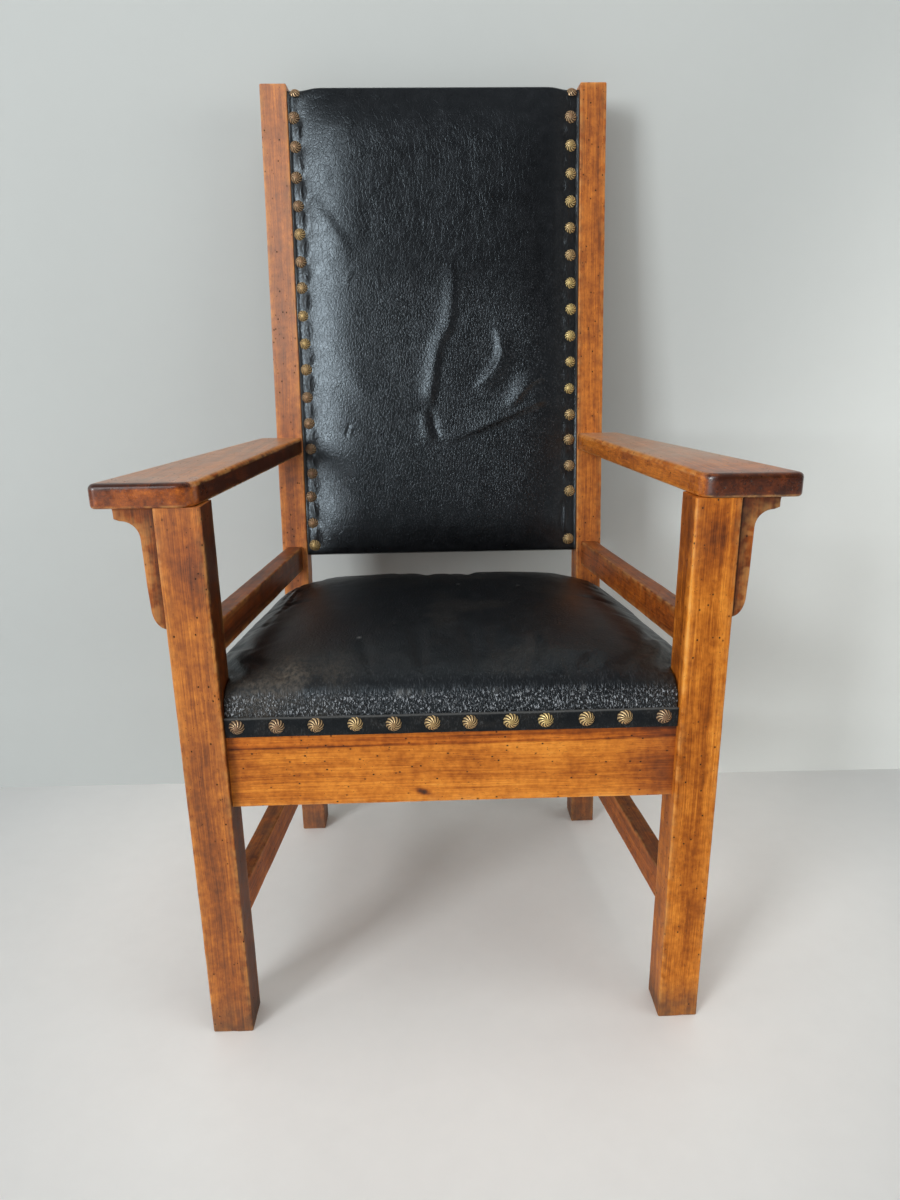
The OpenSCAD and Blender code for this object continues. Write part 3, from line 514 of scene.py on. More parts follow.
def brass_material():
    s = Shader("aged_brass")
    nid = s.attr("nid")
    rise = s.attr("rise")
    p = s.obj()
    gold = s.ramp(nid, [(0.0, (0.30, 0.165, 0.095)), (0.35, (0.50, 0.30, 0.155)), (0.65, (0.72, 0.49, 0.20)), (1.0, (0.95, 0.72, 0.26))])
    spot = s.noise(p, 520.0, 3.0, 0.65)
    gold = s.mix(s.mr(spot, 0.40, 0.70, 0.0, 0.6), gold, s.mix(1.0, gold, (0.48, 0.36, 0.28), "MULTIPLY"))
    low = s.mr(rise, 0.30, 0.74, 0.97, 0.0)
    col = s.mix(low, gold, (0.022, 0.013, 0.008))
    col = s.mix(s.mr(rise, 0.74, 1.0, 0.0, 0.75), col, s.mix(0.5, gold, (1.0, 0.86, 0.52)))
    rough = s.m("ADD", s.m("MULTIPLY", spot, 0.28), s.m("MULTIPLY", low, 0.30))
    return s.set(Base_Color=col, Metallic=s.m("SUBTRACT", 0.58, s.m("MULTIPLY", low, 0.48)), Roughness=s.m("ADD", rough, 0.20), Normal=s.bump(spot, 0.35, 0.0002))


def steel_material():
    s = Shader("dull_steel")
    p = s.obj()
    n = s.noise(p, 260.0, 4.0, 0.65)
    base = s.ramp(n, [(0.35, (0.10, 0.085, 0.075)), (0.55, (0.30, 0.29, 0.28)), (0.75, (0.45, 0.44, 0.43))])
    rust = s.mr(s.noise(p, 90.0, 3.0, 0.6), 0.55, 0.72)
    base = s.mix(rust, base, (0.16, 0.06, 0.025))
    return s.set(Base_Color=base, Metallic=s.m("SUBTRACT", 0.95, s.m("MULTIPLY", rust, 0.8)), Roughness=s.m("ADD", 0.3, s.m("MULTIPLY", n, 0.4)), Normal=s.bump(n, 0.4, 0.0003))


def jute_material(name, cross=False):
    s = Shader(name)
    p = s.attr("lc", True)
    sep = s.t.nodes.new("ShaderNodeSeparateXYZ")
    s.t.links.new(p, sep.inputs[0])
    x, y = sep.outputs[0], sep.outputs[1]
    pitch = 1600.0 if cross else 1300.0
    wx = s.m("SINE", s.m("MULTIPLY", x, pitch * 3.14159 / 2))
    wy = s.m("SINE", s.m("MULTIPLY", y, pitch * 3.14159 / 2))
    over = s.m("MULTIPLY", wx, wy)
    hair = s.noise(s.v("MULTIPLY", p, (2600.0, 700.0, 700.0)), 1.0, 2.0, 0.6)
    lump = s.noise(p, 480.0, 3.0, 0.6)
    h = s.m("ADD", s.m("MULTIPLY", s.m("ABSOLUTE", over), 0.6), s.m("MULTIPLY", hair, 0.4))
    base = s.ramp(s.m("ADD", s.m("MULTIPLY", h, 0.6), s.m("MULTIPLY", lump, 0.4)), [(0.2, (0.10, 0.066, 0.034)), (0.5, (0.30, 0.205, 0.110)), (0.8, (0.46, 0.34, 0.20))])
    grime = s.mr(s.noise(p, 22.0, 3.0, 0.6), 0.40, 0.72, 0.0, 0.6)
    base = s.mix(grime, base, (0.13, 0.10, 0.07))
    return s.set(Base_Color=base, Roughness=0.92, Normal=s.bump(h, 0.8, 0.0008), Sheen_Weight=0.25, Specular_IOR_Level=0.2)


def hair_material():
    s = Shader("curled_hair")
    p = s.obj()
    n = s.noise(s.v("MULTIPLY", p, (300.0, 900.0, 500.0)), 1.0, 4.0, 0.7, distortion=1.5)
    base = s.ramp(n, [(0.3, (0.012, 0.008, 0.006)), (0.6, (0.05, 0.033, 0.022)), (0.8, (0.12, 0.085, 0.06))])
    return s.set(Base_Color=base, Roughness=0.8, Normal=s.bump(n, 1.0, 0.002))


def cloth_cover_material():
    s = Shader("leathercloth")
    p = s.attr("lc", True)
    cell = s.mr(s.voronoi(p, 520.0, feature="DISTANCE_TO_EDGE"), 0.0, 0.15)
    n = s.noise(p, 38.0, 4.0, 0.6)
    base = s.ramp(n, [(0.3, (0.010, 0.010, 0.010)), (0.7, (0.022, 0.021, 0.020))])
    dust = s.mr(s.noise(p, 9.0, 4.0, 0.62), 0.46, 0.74, 0.0, 0.55)
    base = s.mix(dust, base, (0.075, 0.068, 0.058))
    rough = s.m("ADD", s.m("MULTIPLY", n, 0.25), s.m("ADD", 0.36, s.m("MULTIPLY", dust, 0.3)))
    return s.set(Base_Color=base, Roughness=rough, Normal=s.bump(s.noise(p, 28.0, 3.0, 0.5), 0.4, 0.003, s.bump(cell, 0.45, 0.0004)), Specular_IOR_Level=0.5)


WOOD = wood_material()
WOOD_IN = plain_wood_material()
BACK_HIDE = leather_material("back_hide", back=True)
SEAT_HIDE = leather_material("seat_hide", seat=True)
STRIP_HIDE = leather_material("strip_hide", strip=True)
COVER = cloth_cover_material()
BRASS = brass_material()
STEEL = steel_material()
JUTE = jute_material("jute_webbing")
HESSIAN = jute_material("hessian", True)
HAIR = hair_material()

LEFT, RIGHT = -1, 1


def side(s):
    return "left" if s < 0 else "right"


# ---------------------------------------------------------------- front legs
def front_leg(s):
    def place(a, b, c):
        return np.stack([s * (FXI + LEG_W / 2) + b, LEG_D / 2 + c, a], -1)

    def radius_at(a, sb, sc):
        inner = (sb * s < 0) & (sc < 0)            # inner front edge
        worn = 2.9 if s > 0 else 2.4
        r = np.where(inner, 1.3 + worn * smooth(a, 425, 470) * (1 - 0.35 * smooth(a, 640, 672)), 1.9)
        return np.where((sb * s > 0) & (sc < 0), 2.2, r)

    def tone(a, b, c, v):
        top = smooth(a, 545, 650)
        foot = 1 - smooth(a, 4, 70)
        inner = smooth(-b * s, 23.4, 24.9) * smooth(c, -24.0, -21.5)
        spot = fbm(np.stack([a / 46.0, b / 30.0, c / 30.0], -1), 3 + s, 3)
        t = 0.16 * top * (0.5 + spot) + 0.10 * np.maximum(0, spot) * (1 if s < 0 else 0.3)
        if s < 0:
            # on the left leg the inner face is darkened: painted shade, as it faces away from the light
            t = t + 0.08 + 0.28 * (1 - smooth(a, 300, 520)) + (0.50 + 0.45 * smooth(a, 400, 470)) * inner + 0.52 * gauss((a - 606) / 1.0, 26) * gauss(b - 10, 12) * (0.6 + 0.8 * spot)
        else:
            # on the right leg a painted highlight runs along the worn inner front edge, which faces the light
            chamfer_highlight = np.exp(-((b + 25.0) ** 2 + (c + 24.5) ** 2) / (2 * 2.2 ** 2))
            t = t + 0.08 + 0.10 * inner - 0.55 * chamfer_highlight * smooth(a, 430, 470) + 0.30 * gauss(a - 640, 22) * gauss(b - 4, 13) * (0.7 + spot)
        # a faint painted sheen on the left leg's faces other than the inner one
        return {"tone": t, "dirt": np.clip(0.75 * foot + 0.22 * top * np.maximum(0, spot), 0, 1),
                "red": (0.02 + 0.14 * top + 0.5 * gauss(a - 608, 30) * gauss(b - 9, 14)) if s < 0 else 0.05 + 0.2 * top, "gloss": 0.35 * top, "haze": 0.07 * (1 - inner) if s < 0 else 0.0 * top}

    return worn_bar(f"front_leg_{side(s)}_wood", 673.9, LEG_W, LEG_D, place, WOOD, 11 + 7 * s, 2.0, radius_at,
                    tone=tone, replaces=[f"front_leg_{side(s)}"], butt=(False, True))


# ---------------------------------------------------------------- rear posts
def rear_post(s):
    drift = 8.0 if s > 0 else 0.0

    def place(a, b, c):
        soft = post_y(a - 9) / 4 + post_y(a) / 2 + post_y(a + 9) / 4
        mid = np.where(np.abs(a - KNEE) < 30, soft, post_y(a))
        x = s * (PXI + POST_W / 2 + drift * np.clip((312 - a) / 312, 0, 1)) + b
        return np.stack([x, mid + POST_D / 2 + c, a], -1)

    def tone(a, b, c, v):
        foot = 1 - smooth(a, 4, 120)
        low = 1 - smooth(a, 280, 470)
        spot = fbm(np.stack([a / 60.0, b / 30.0, c / 30.0], -1), 23 + s, 3)
        t = 0.04 * spot + 0.16 * low + (0.25 if s < 0 else 0.27)
        # a painted sheen on the left post, stronger from about 560 mm up
        return {"tone": t, "dirt": np.clip(0.55 * foot + 0.18 * low, 0, 1), "red": 0.30 if s < 0 else 0.12, "gloss": 0.1, "haze": (0.22 * smooth(a, 560, 900) * (1 - 0.3 * smooth(a, 1000, 1200)) + 0.1) if s < 0 else 0.05 + 0 * a}

    return worn_bar(f"rear_post_{side(s)}_wood", TOP, POST_W, POST_D, place, WOOD, 31 + 5 * s, 2.0,
                    tone=tone, replaces=[f"rear_post_{side(s)}"])


# ---------------------------------------------------------------- side rails and stretchers
def side_bar(name, s, z0, z1, x0, x1, w, h, seed, node, tone):
    def place(a, b, c):
        t = a / L
        z = z0 + (z1 - z0) * t + c
        y0, y1 = LEG_D - 1.0, post_y(z) + 1.0
        return np.stack([s * (x0 + (x1 - x0) * t) + b, y0 + (y1 - y0) * t, z], -1)

    L = float(post_y(z1)) - LEG_D + 2.0
    return worn_bar(name, L, w, h, place, WOOD, seed, 1.6, tone=tone, replaces=[node], butt=(True, True))


def rails(s):
    def arm_tone(a, b, c, v):
        spot = fbm(np.stack([a / 40.0, b / 20.0, c / 20.0], -1), 41 + s, 3)
        top = smooth(c, 16, 18.9)
        inner = smooth(-b * s, 9, 11.9)
        # the left rail's inner face is darker: painted shade, as it faces away from the light
        return {"tone": (0.52 if s < 0 else 0.42) + 0.08 * spot + (0.34 if s < 0 else 0.10) * inner * (1 - top), "dirt": np.clip(0.30 * top + 0.05, 0, 1),
                "red": 0.55, "gloss": 0.45}

    side_bar(f"arm_side_rail_{side(s)}_wood", s, 519.0, 507.5, 272.5, 241.0, 24.0, 38.0, 51 + s, f"arm_side_rail_{side(s)}", arm_tone)

    def low_tone(a, b, c, v):
        spot = fbm(np.stack([a / 40.0, b / 20.0, c / 20.0], -1), 61 + s, 3)
        top = smooth(c, 20, 22.9)
        return {"tone": 0.25 + 0.08 * spot, "dirt": np.clip(0.45 * top + 0.22, 0, 1), "red": 0.5, "gloss": 0.0}

    side_bar(f"stretcher_{side(s)}_wood", s, 168.0, 168.0, 272.5, 233.5 + (8.0 * (312 - 168) / 312 if s > 0 else 0.0), 24.0, 46.0, 71 + s,
             f"stretcher_{side(s)}", low_tone)

    def seat_tone(a, b, c, v):
        spot = fbm(np.stack([a / 50.0, b / 20.0, c / 30.0], -1), 81 + s, 3)
        return {"tone": 0.10 + 0.07 * spot, "dirt": 0.18, "red": 0.4, "gloss": 0.0}

    side_bar(f"seat_rail_{side(s)}_wood", s, 373.0, 373.0, SX0, SX1, 28.0, 114.0, 91 + s, f"seat_rail_{side(s)}", seat_tone)


def front_rail():
    def place(a, b, c):
        return np.stack([a - 261.0, 25.0 + b, 373.0 + c], -1)

    def tone(a, b, c, v):
        x = a - 261.0
        spot = fbm(np.stack([a / 50.0, b / 20.0, c / 22.0], -1), 101, 3)
        line = 17.0 + 0.006 * (x + 260) + 1.5 * fbm(np.stack([a / 60.0, 0 * a, 0 * a], -1), 7, 2)      # a darker band above this height
        band = smooth(c, line - 1.2, line + 0.6)
        edge = gauss(c - line, 0.9) + 0.6 * gauss(c - line - 9.0 - 0.004 * x, 0.8) * smooth(x, -200, 0)
        ends = smooth(-x, 205, 262) + 3.0 * smooth(x, 170, 262)
        knot = gauss(np.hypot((x + 36) / 1.9, c + 43.5 + 0.35 * (x + 36)), 2.4)
        # the rounded lower edge is made lighter: partly wear, partly a painted highlight where it catches the light
        return {"tone": -0.04 + 0.05 * spot - 0.12 * smooth(-c, 46, 54) + 0.10 * band + 0.62 * edge + 0.12 * ends + 1.5 * knot, "dirt": np.clip(0.08 * ends + 0.5 * knot, 0, 1),
                "red": np.clip(0.10 + 0.42 * band + 0.15 * ends, 0, 1), "gloss": 0.15}

    return worn_bar("seat_rail_front_wood", 522.0, 28.0, 114.0, place, WOOD, 103, 1.9, step=5.0, step_h=1.7, tone=tone, replaces=["seat_rail_front"], butt=(True, True))


def rear_rail():
    def place(a, b, c):
        return np.stack([a - 222.0, 471.0 + b, 373.0 + c], -1)

    def tone(a, b, c, v):
        return {"tone": 0.16, "dirt": 0.35, "red": 0.3, "gloss": 0.0}

    return worn_bar("seat_rail_rear_wood", 444.0, 28.0, 114.0, place, WOOD, 107, 1.5, step=7.0, tone=tone, replaces=["seat_rail_rear"])


# ---------------------------------------------------------------- arms
AF_OUT, AF_IN, AR_OUT, AR_IN = 376.0, 266.0, 291.0, 222.0
OVER = 3.0
ARM_LEN = float(post_y(ARM_Z)) + OVER
K_OUT, K_IN = (AR_OUT - AF_OUT) / ARM_LEN, (AR_IN - AF_IN) / ARM_LEN


def arm_ring(inset, z, r_out, r_in):
    """Half outline of an arm board at one level: from the post along the inner side, round the front, back along the outer side."""
    yb = float(post_y(z))
    n_in = np.array([-1.0, K_IN]) / math.hypot(1, K_IN)       # points out of the board on the inner side
    n_out = np.array([1.0, -K_OUT]) / math.hypot(1, K_OUT)

    def meet(n1, p1, n2, p2):
        a = np.array([n1, n2])
        return np.linalg.solve(a, np.array([n1 @ p1, n2 @ p2]))

    front_n = np.array([0.0, -1.0])
    ci = meet(n_in, np.array([AF_IN, -OVER]) - n_in * r_in, front_n, np.array([0.0, -OVER + r_in]))
    co = meet(n_out, np.array([AF_OUT, -OVER]) - n_out * r_out, front_n, np.array([0.0, -OVER + r_out]))
    pts = []
    start = ci + n_in * (r_in - inset)
    end = np.array([0.0, yb])
    end[0] = start[0] + (yb - start[1]) * K_IN
    for t in np.linspace(0, 1, 62)[:-1]:
        pts.append(end + (start - end) * t)
    a0, a1 = math.atan2(n_in[1], n_in[0]), -math.pi / 2
    if a0 > 0:
        a0 -= 2 * math.pi
    for t in np.linspace(0, 1, 15):
        a = a0 + (a1 - a0) * t
        pts.append(ci + (r_in - inset) * np.array([math.cos(a), math.sin(a)]))
    f0, f1 = pts[-1], co + np.array([0, -(r_out - inset)])
    for t in np.linspace(0, 1, 20)[1:-1]:
        pts.append(f0 + (f1 - f0) * t)
    b0, b1 = -math.pi / 2, math.atan2(n_out[1], n_out[0])
    for t in np.linspace(0, 1, 12):
        a = b0 + (b1 - b0) * t
        pts.append(co + (r_out - inset) * np.array([math.cos(a), math.sin(a)]))
    start = pts[-1]
    end = np.array([start[0] + (yb - start[1]) * K_OUT, yb])
    for t in np.linspace(0, 1, 62)[1:]:
        pts.append(start + (end - start) * t)
    for t in np.linspace(0, 1, 12)[1:-1]:                    # along the post
        pts.append(pts[-1] * 0 + end + (np.array(pts[0]) - end) * t)
    return np.array(pts)


def arm(s):
    r_out, r_in, top_r, under = 9.0, 20.0, 6.0, 3.5
    rings = []
    for a in np.radians([0, 22.5, 45, 67.5, 90]):
        rings.append((under * (1 - math.sin(a)), ARM_Z + under * (1 - math.cos(a))))
    for z in np.linspace(ARM_Z + under, ARM_Z + ARM_T - top_r, 5)[1:-1]:
        rings.append((0.0, z))
    for a in np.radians([0, 15, 30, 45, 60, 75, 90]):
        rings.append((top_r * (1 - math.cos(a)), ARM_Z + ARM_T - top_r + top_r * math.sin(a)))
    levels = [np.column_stack([arm_ring(i, z, r_out, r_in), np.full(1, z).repeat(len(arm_ring(i, z, r_out, r_in)))]) for i, z in rings]
    n = len(levels[0])

    def inner_ring(ring, g):
        y = np.clip(ring[:, 1], -OVER + 48.0, None)
        xc = (AF_OUT + AF_IN) / 2 + (K_OUT + K_IN) / 2 * (y + OVER)
        sk = np.column_stack([xc, y])
        return np.column_stack([ring[:, :2] + (sk - ring[:, :2]) * g, ring[:, 2]])

    bottom = [inner_ring(levels[0], g) for g in (1.0, 0.7, 0.4, 0.15)]
    top = [inner_ring(levels[-1], g) for g in (0.08, 0.2, 0.4, 0.65, 1.0)]
    stack = bottom + levels + top
    v = np.vstack(stack)
    m = len(stack)
    quads = []
    for k in range(m - 1):
        for i in range(n):
            j = (i + 1) % n
            quads.append((k * n + i, k * n + j, (k + 1) * n + j, (k + 1) * n + i))
    # close the seam that each cap leaves along the middle: points there coincide in pairs, and weld below
    flatx = v[:, 0].copy()
    up = smooth(v[:, 2], ARM_Z + ARM_T - 1.5, ARM_Z + ARM_T)
    q = np.stack([v[:, 0] / 60.0, v[:, 1] / 110.0, v[:, 2] / 40.0], -1)
    v[:, 2] += up * 0.35 * fbm(q, 5 + s, 3)
    front = smooth(-v[:, 1], -40, 0)
    # edges are a little uneven from wear
    e = np.zeros(len(v))
    for k, (i, z) in enumerate(rings):
        e[(k + len(bottom)) * n:(k + len(bottom) + 1) * n] = 1.0 if 0 < i < 5.9 else 0.35
    ctr = (AF_OUT + AF_IN) / 2 + (K_OUT + K_IN) / 2 * (v[:, 1] + OVER)
    v[:, 0] += np.sign(flatx - ctr) * -0.5 * e * np.maximum(0, fbm(np.stack([v[:, 1] / 30.0, v[:, 0] / 30.0, v[:, 2] / 9.0], -1), 15 + s, 2))
    v[:, 0] *= s
    spot = fbm(np.stack([v[:, 0] / 40.0, v[:, 1] / 40.0, v[:, 2] / 25.0], -1), 19 + s, 3)
    ff = 1 - smooth(v[:, 1], 2, 60)
    upper = smooth(v[:, 2], ARM_Z + 20, ARM_Z + ARM_T)
    face = (1 - smooth(v[:, 1], -1.5, 6)) * (1 - upper)
    hw = 55.0 - 20.5 * (v[:, 1] + OVER) / ARM_LEN
    inner_side = smooth((ctr - np.abs(v[:, 0])) / hw, 0.88, 0.97) * (1 - smooth(v[:, 2], ARM_Z + 21, ARM_Z + 25)) * smooth(v[:, 1], 4, 22)
    lip = (1 - smooth(v[:, 1], 3.5, 7)) * smooth(v[:, 2], ARM_Z + 19, ARM_Z + 22)
    # flat_top places a grey wash on the arm tops: partly faded, dusty finish, partly painted sheen
    flat_top = smooth(v[:, 2], ARM_Z + 24.5, ARM_Z + 25.7) * smooth(v[:, 1], 5, 10)
    # on the left arm the inner side is darkened: painted shade, as it faces away from the light; the right arm's inner
    # side is a little lighter as it faces the light
    if s < 0:
        tone = 0.14 + 0.08 * spot + 0.20 * ff * upper + 0.24 * face * (0.8 + spot) + 1.0 * inner_side + 0.75 * lip
        red = 0.30 + 0.25 * face + 0.3 * lip
        bloom = 0.44 * flat_top * (0.9 + 0.3 * spot)
    else:
        tone = 0.14 + 0.08 * spot + 0.26 * ff * upper + 0.84 * face - 0.04 * inner_side + 0.45 * lip
        red = 0.25 + 0.40 * face
        bloom = 0.62 * flat_top * smooth(v[:, 1], 30, 190) * (0.9 + 0.3 * spot)
    dirt = np.clip(0.10 * upper * (0.8 + 0.6 * spot), 0, 1)
    wc = np.stack([v[:, 1], v[:, 0], v[:, 2]], -1) * 1e-3 + (2.1 + s, 4.4, 1.7)
    ob = make(f"arm_{side(s)}_wood", v, outward(quads, v), {"wc": wc, "ed": 0.85 * np.where(e > 0.9, 1.0, 0.0) * (1 - lip), "tone": tone, "dirt": dirt,
              "red": red, "bloom": np.clip(bloom, 0, 1), "gloss": 0.95 * np.clip(ff + 0.8, 0, 1)}, WOOD)
    weld(ob, 0.00006)
    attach(ob, "root")
    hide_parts(f"arm_{side(s)}")
    return ob


def weld(ob, dist):
    import bmesh
    bm = bmesh.new()
    bm.from_mesh(ob.data)
    bmesh.ops.remove_doubles(bm, verts=bm.verts, dist=dist)
    bmesh.ops.dissolve_degenerate(bm, edges=bm.edges, dist=dist / 2)
    bmesh.ops.recalc_face_normals(bm, faces=bm.faces)
    bm.to_mesh(ob.data)
    bm.free()
    ob.data.polygons.foreach_set("use_smooth", [True] * len(ob.data.polygons))
    ob.data.update()


# ---------------------------------------------------------------- brackets under the arms
def bracket(s):
    w, h, shank, t, y0 = 42.5, 134.0, 16.0, 28.0, 4.0
    prof = [(0, 0), (w, 0), (w, -11.5), (w - 6, -14)]
    prof += [(w - 6.5 + (w - 6.5 - shank - 1) * math.cos(math.radians(a)), -33.5 + 19.5 * math.sin(math.radians(a))) for a in range(90, 181, 10)]
    prof += [(shank + 0.2, -h + 50)]
    prof += [((shank - 1) * math.cos(math.radians(a)), -h + 24 - 24 * math.sin(math.radians(a))) for a in range(0, 91, 10)]
    line = [np.array(prof[0], float)]
    for a, b in zip(prof, prof[1:] + prof[:1]):
        a, b = np.array(a, float), np.array(b, float)
        k = max(1, int(np.linalg.norm(b - a) / 4.0))
        for j in range(1, k + 1):
            line.append(a + (b - a) * j / k)
    line = np.array(line[:-1])
    n = len(line)
    nxt, prv = np.roll(line, -1, 0), np.roll(line, 1, 0)
    tan = nxt - prv
    nrm = np.column_stack([tan[:, 1], -tan[:, 0]])
    nrm /= np.maximum(np.linalg.norm(nrm, axis=1, keepdims=True), 1e-9)
    area = 0.5 * np.sum(line[:, 0] * nxt[:, 1] - nxt[:, 0] * line[:, 1])
    if area < 0:
        nrm = -nrm                                            # outward
    keep = np.where((line[:, 0] < 0.2) | (line[:, 1] > -0.2), 0.0, 1.0)[:, None]
    r = 1.9
    rings = []
    for a in np.radians([90, 67.5, 45, 22.5, 0]):
        rings.append((r * (1 - math.cos(a)), y0 + r * (1 - math.sin(a))))
    for y in (y0 + 9, y0 + 14, y0 + 19):
        rings.append((0.0, y))
    for a in np.radians([0, 22.5, 45, 67.5, 90]):
        rings.append((r * (1 - math.cos(a)), y0 + t - r * (1 - math.sin(a))))
    v, e = [], []
    for k, (i, y) in enumerate(rings):
        p = line - nrm * i * keep
        v.append(np.column_stack([s * (FX + p[:, 0]), np.full(n, y), ARM_Z + p[:, 1]]))
        e.append(np.full(n, 0.9 if (k < 5 or k > 7) else 0.1) * keep[:, 0])
    v = np.vstack(v)
    e = np.concatenate(e)
    faces = []
    for k in range(len(rings) - 1):
        for i in range(n):
            j = (i + 1) % n
            faces.append((k * n + i, k * n + j, (k + 1) * n + j, (k + 1) * n + i))
    faces.append(tuple(range(n))[::-1])
    faces.append(tuple(range((len(rings) - 1) * n, len(rings) * n)))
    import bmesh
    spot = fbm(v / 30.0, 121 + s, 3)
    topw = smooth(v[:, 2], 600, 668)
    # painted shade: darker and dirtier towards the top under the arm, the right bracket darker overall, and a dark line
    # along the seam with the leg, partly a dark joint and partly painted shade in the gap
    tone = (0.26 if s < 0 else 0.46) + 0.10 * spot + (0.10 if s < 0 else 0.26) * topw + 0.16 * smooth(v[:, 1], 8, 20) + 0.35 * gauss(np.abs(v[:, 0]) - FX, 2.2)
    ob = make(f"arm_bracket_{side(s)}_wood", v, faces, {"wc": np.stack([v[:, 2], v[:, 0], v[:, 1]], -1) * 1e-3 + (0.7 + s, 2.2, 5.1), "ed": e,
              "tone": tone, "dirt": np.clip(0.12 + 0.18 * topw, 0, 1), "red": 0.4 + 0.2 * topw, "gloss": 0.2}, WOOD)
    bm = bmesh.new()
    bm.from_mesh(ob.data)
    bmesh.ops.triangulate(bm, faces=[f for f in bm.faces if len(f.verts) > 4])
    bmesh.ops.recalc_face_normals(bm, faces=bm.faces)
    bm.to_mesh(ob.data)
    bm.free()
    sharp_by_angle(ob, 40)
    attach(ob, "root")
    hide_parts(f"arm_bracket_{side(s)}")
    return ob


def sharp_by_angle(ob, deg):
    me = ob.data
    me.polygons.foreach_set("use_smooth", [True] * len(me.polygons))
    me.set_sharp_from_angle(angle=math.radians(deg))


# ---------------------------------------------------------------- nails
def nail_shape(rings=14, around=104, flutes=11, radius=9.0, height=6.0):
    """A domed nail head with swirling flutes. Returns points with +Z out of the head, quads and triangles, and how high each flute stands."""
    pts, rise = [(0.0, 0.0, height)], [0.55]
    tris, quads = [], []
    cap_r = (radius ** 2 + height ** 2) / (2 * height)
    for i in range(1, rings + 1):
        t = i / rings
        rho = radius * math.sin(t * math.pi / 2) ** 1.02
        base = cap_r - math.sqrt(cap_r ** 2 - rho ** 2)
        for j in range(around):
            a = 2 * math.pi * j / around
            swirl = 1.25 * (t ** 0.8)
            wave = 0.5 + 0.5 * math.cos(flutes * (a - swirl))
            sharp = wave ** 0.9
            env = smooth(t, 0.10, 0.32) * (1 - 0.55 * smooth(t, 0.86, 1.0))
            z = height - base - 1.5 * env * (1 - sharp) * (0.45 + 0.55 * t)
            rr = rho * (1 - 0.035 * env * (1 - sharp) * smooth(t, 0.8, 1.0))
            pts.append((rr * math.cos(a), rr * math.sin(a), max(float(z), 0.0)))
            rise.append(float(sharp * env + 0.55 * (1 - env)))
    for j in range(around):
        pts.append((radius * 0.93 * math.cos(2 * math.pi * j / around), radius * 0.93 * math.sin(2 * math.pi * j / around), -0.5))
        rise.append(0.05)
    for j in range(around):
        tris.append((0, 1 + j, 1 + (j + 1) % around))
    for i in range(rings):
        for j in range(around):
            k = (j + 1) % around
            quads.append((1 + i * around + j, 1 + (i + 1) * around + j, 1 + (i + 1) * around + k, 1 + i * around + k))
    return np.array(pts), quads + tris, np.array(rise)


NAIL_V, NAIL_F, NAIL_RISE = nail_shape()


def nails(name, places, node, seed, radius=9.0):
    """places: (centre, outward normal, colour 0 dark bronze to 1 gold). One mesh of nail heads with their shanks."""
    vs, fs, nid, rise, base = [], [], [], [], 0
    for k, (c, nrm, col) in enumerate(places):
        n = Vector(nrm).normalized()
        tilt = Vector((rand(seed * 97 + k * 3) - 0.5, rand(seed * 97 + k * 3 + 1) - 0.5, rand(seed * 97 + k * 3 + 2) - 0.5)) * 0.16
        n = (n + tilt).normalized()
        q = n.to_track_quat("Z", "Y")
        spin = Matrix.Rotation(rand(seed * 31 + k) * 6.283, 3, "Z")
        rot = np.array(q.to_matrix() @ spin)
        sc = radius / 9.0 * (0.97 + 0.06 * rand(seed * 53 + k))
        pts = NAIL_V * sc
        dent = 0.25 * vnoise(pts / 4.5 + 13.7 * k + seed, 3)
        pts = pts.copy()
        pts[:, 2] += np.where(pts[:, 2] > 0.8, dent, 0)
        vs.append(pts @ rot.T + np.array(c))
        fs += [tuple(i + base for i in f) for f in NAIL_F]
        nid.append(np.full(len(pts), col))
        rise.append(NAIL_RISE)
        base += len(pts)
        # the shank
        around = 12
        ring = np.array([(1.2 * math.cos(2 * math.pi * j / around), 1.2 * math.sin(2 * math.pi * j / around)) for j in range(around)])
        sh = np.vstack([np.column_stack([ring, np.full(around, -0.4)]), np.column_stack([ring, np.full(around, -8.0)]), [[0, 0, -10.0]]])
        straight = np.array(Vector(nrm).normalized().to_track_quat("Z", "Y").to_matrix())
        vs.append(sh @ straight.T + np.array(c))
        for j in range(around):
            jj = (j + 1) % around
            fs.append((base + j, base + around + j, base + around + jj, base + jj))
            fs.append((base + around + j, base + 2 * around, base + around + jj))
        nid.append(np.full(len(sh), col))
        rise.append(np.full(len(sh), 0.3))
        base += len(sh)
    v = np.vstack(vs)
    ob = make(name, v, fs, {"nid": np.concatenate(nid), "rise": np.concatenate(rise)}, BRASS)
    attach(ob, "root")
    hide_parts(node)
    return ob


# where each head sits, and how bright it is
FRONT_X = (-245.9, -200.6, -156.3, -111.6, -67.9, -23.5, 19.2, 66.6, 106.5, 153.8, 198.1, 243.2)
FRONT_Z = (420.6, 420.9, 420.7, 420.8, 420.3, 420.1, 420.0, 420.4, 420.3, 420.5, 420.9, 421.0)
FRONT_COL = (0.18, 0.30, 0.45, 0.62, 0.48, 0.60, 0.55, 0.80, 0.88, 0.66, 0.55, 0.22)
LEFT_N = ((-211.5, 1168.0), (-211.2, 1127.9), (-211.7, 1084.7), (-210.6, 1044.4), (-210.3, 1004.2), (-210.2, 964.0), (-210.1, 925.5), (-210.5, 884.3),
          (-209.3, 842.9), (-209.2, 803.5), (-209.9, 761.6), (-208.6, 721.3), (-207.8, 681.6), (-206.7, 643.0), (-210.1, 606.1), (-209.3, 563.9), (-208.3, 528.0))
LEFT_COL = (0.22, 0.30, 0.25, 0.22, 0.62, 0.35, 0.50, 0.66, 0.70, 0.55, 0.34, 0.30, 0.16, 0.10, 0.12, 0.30, 0.72)
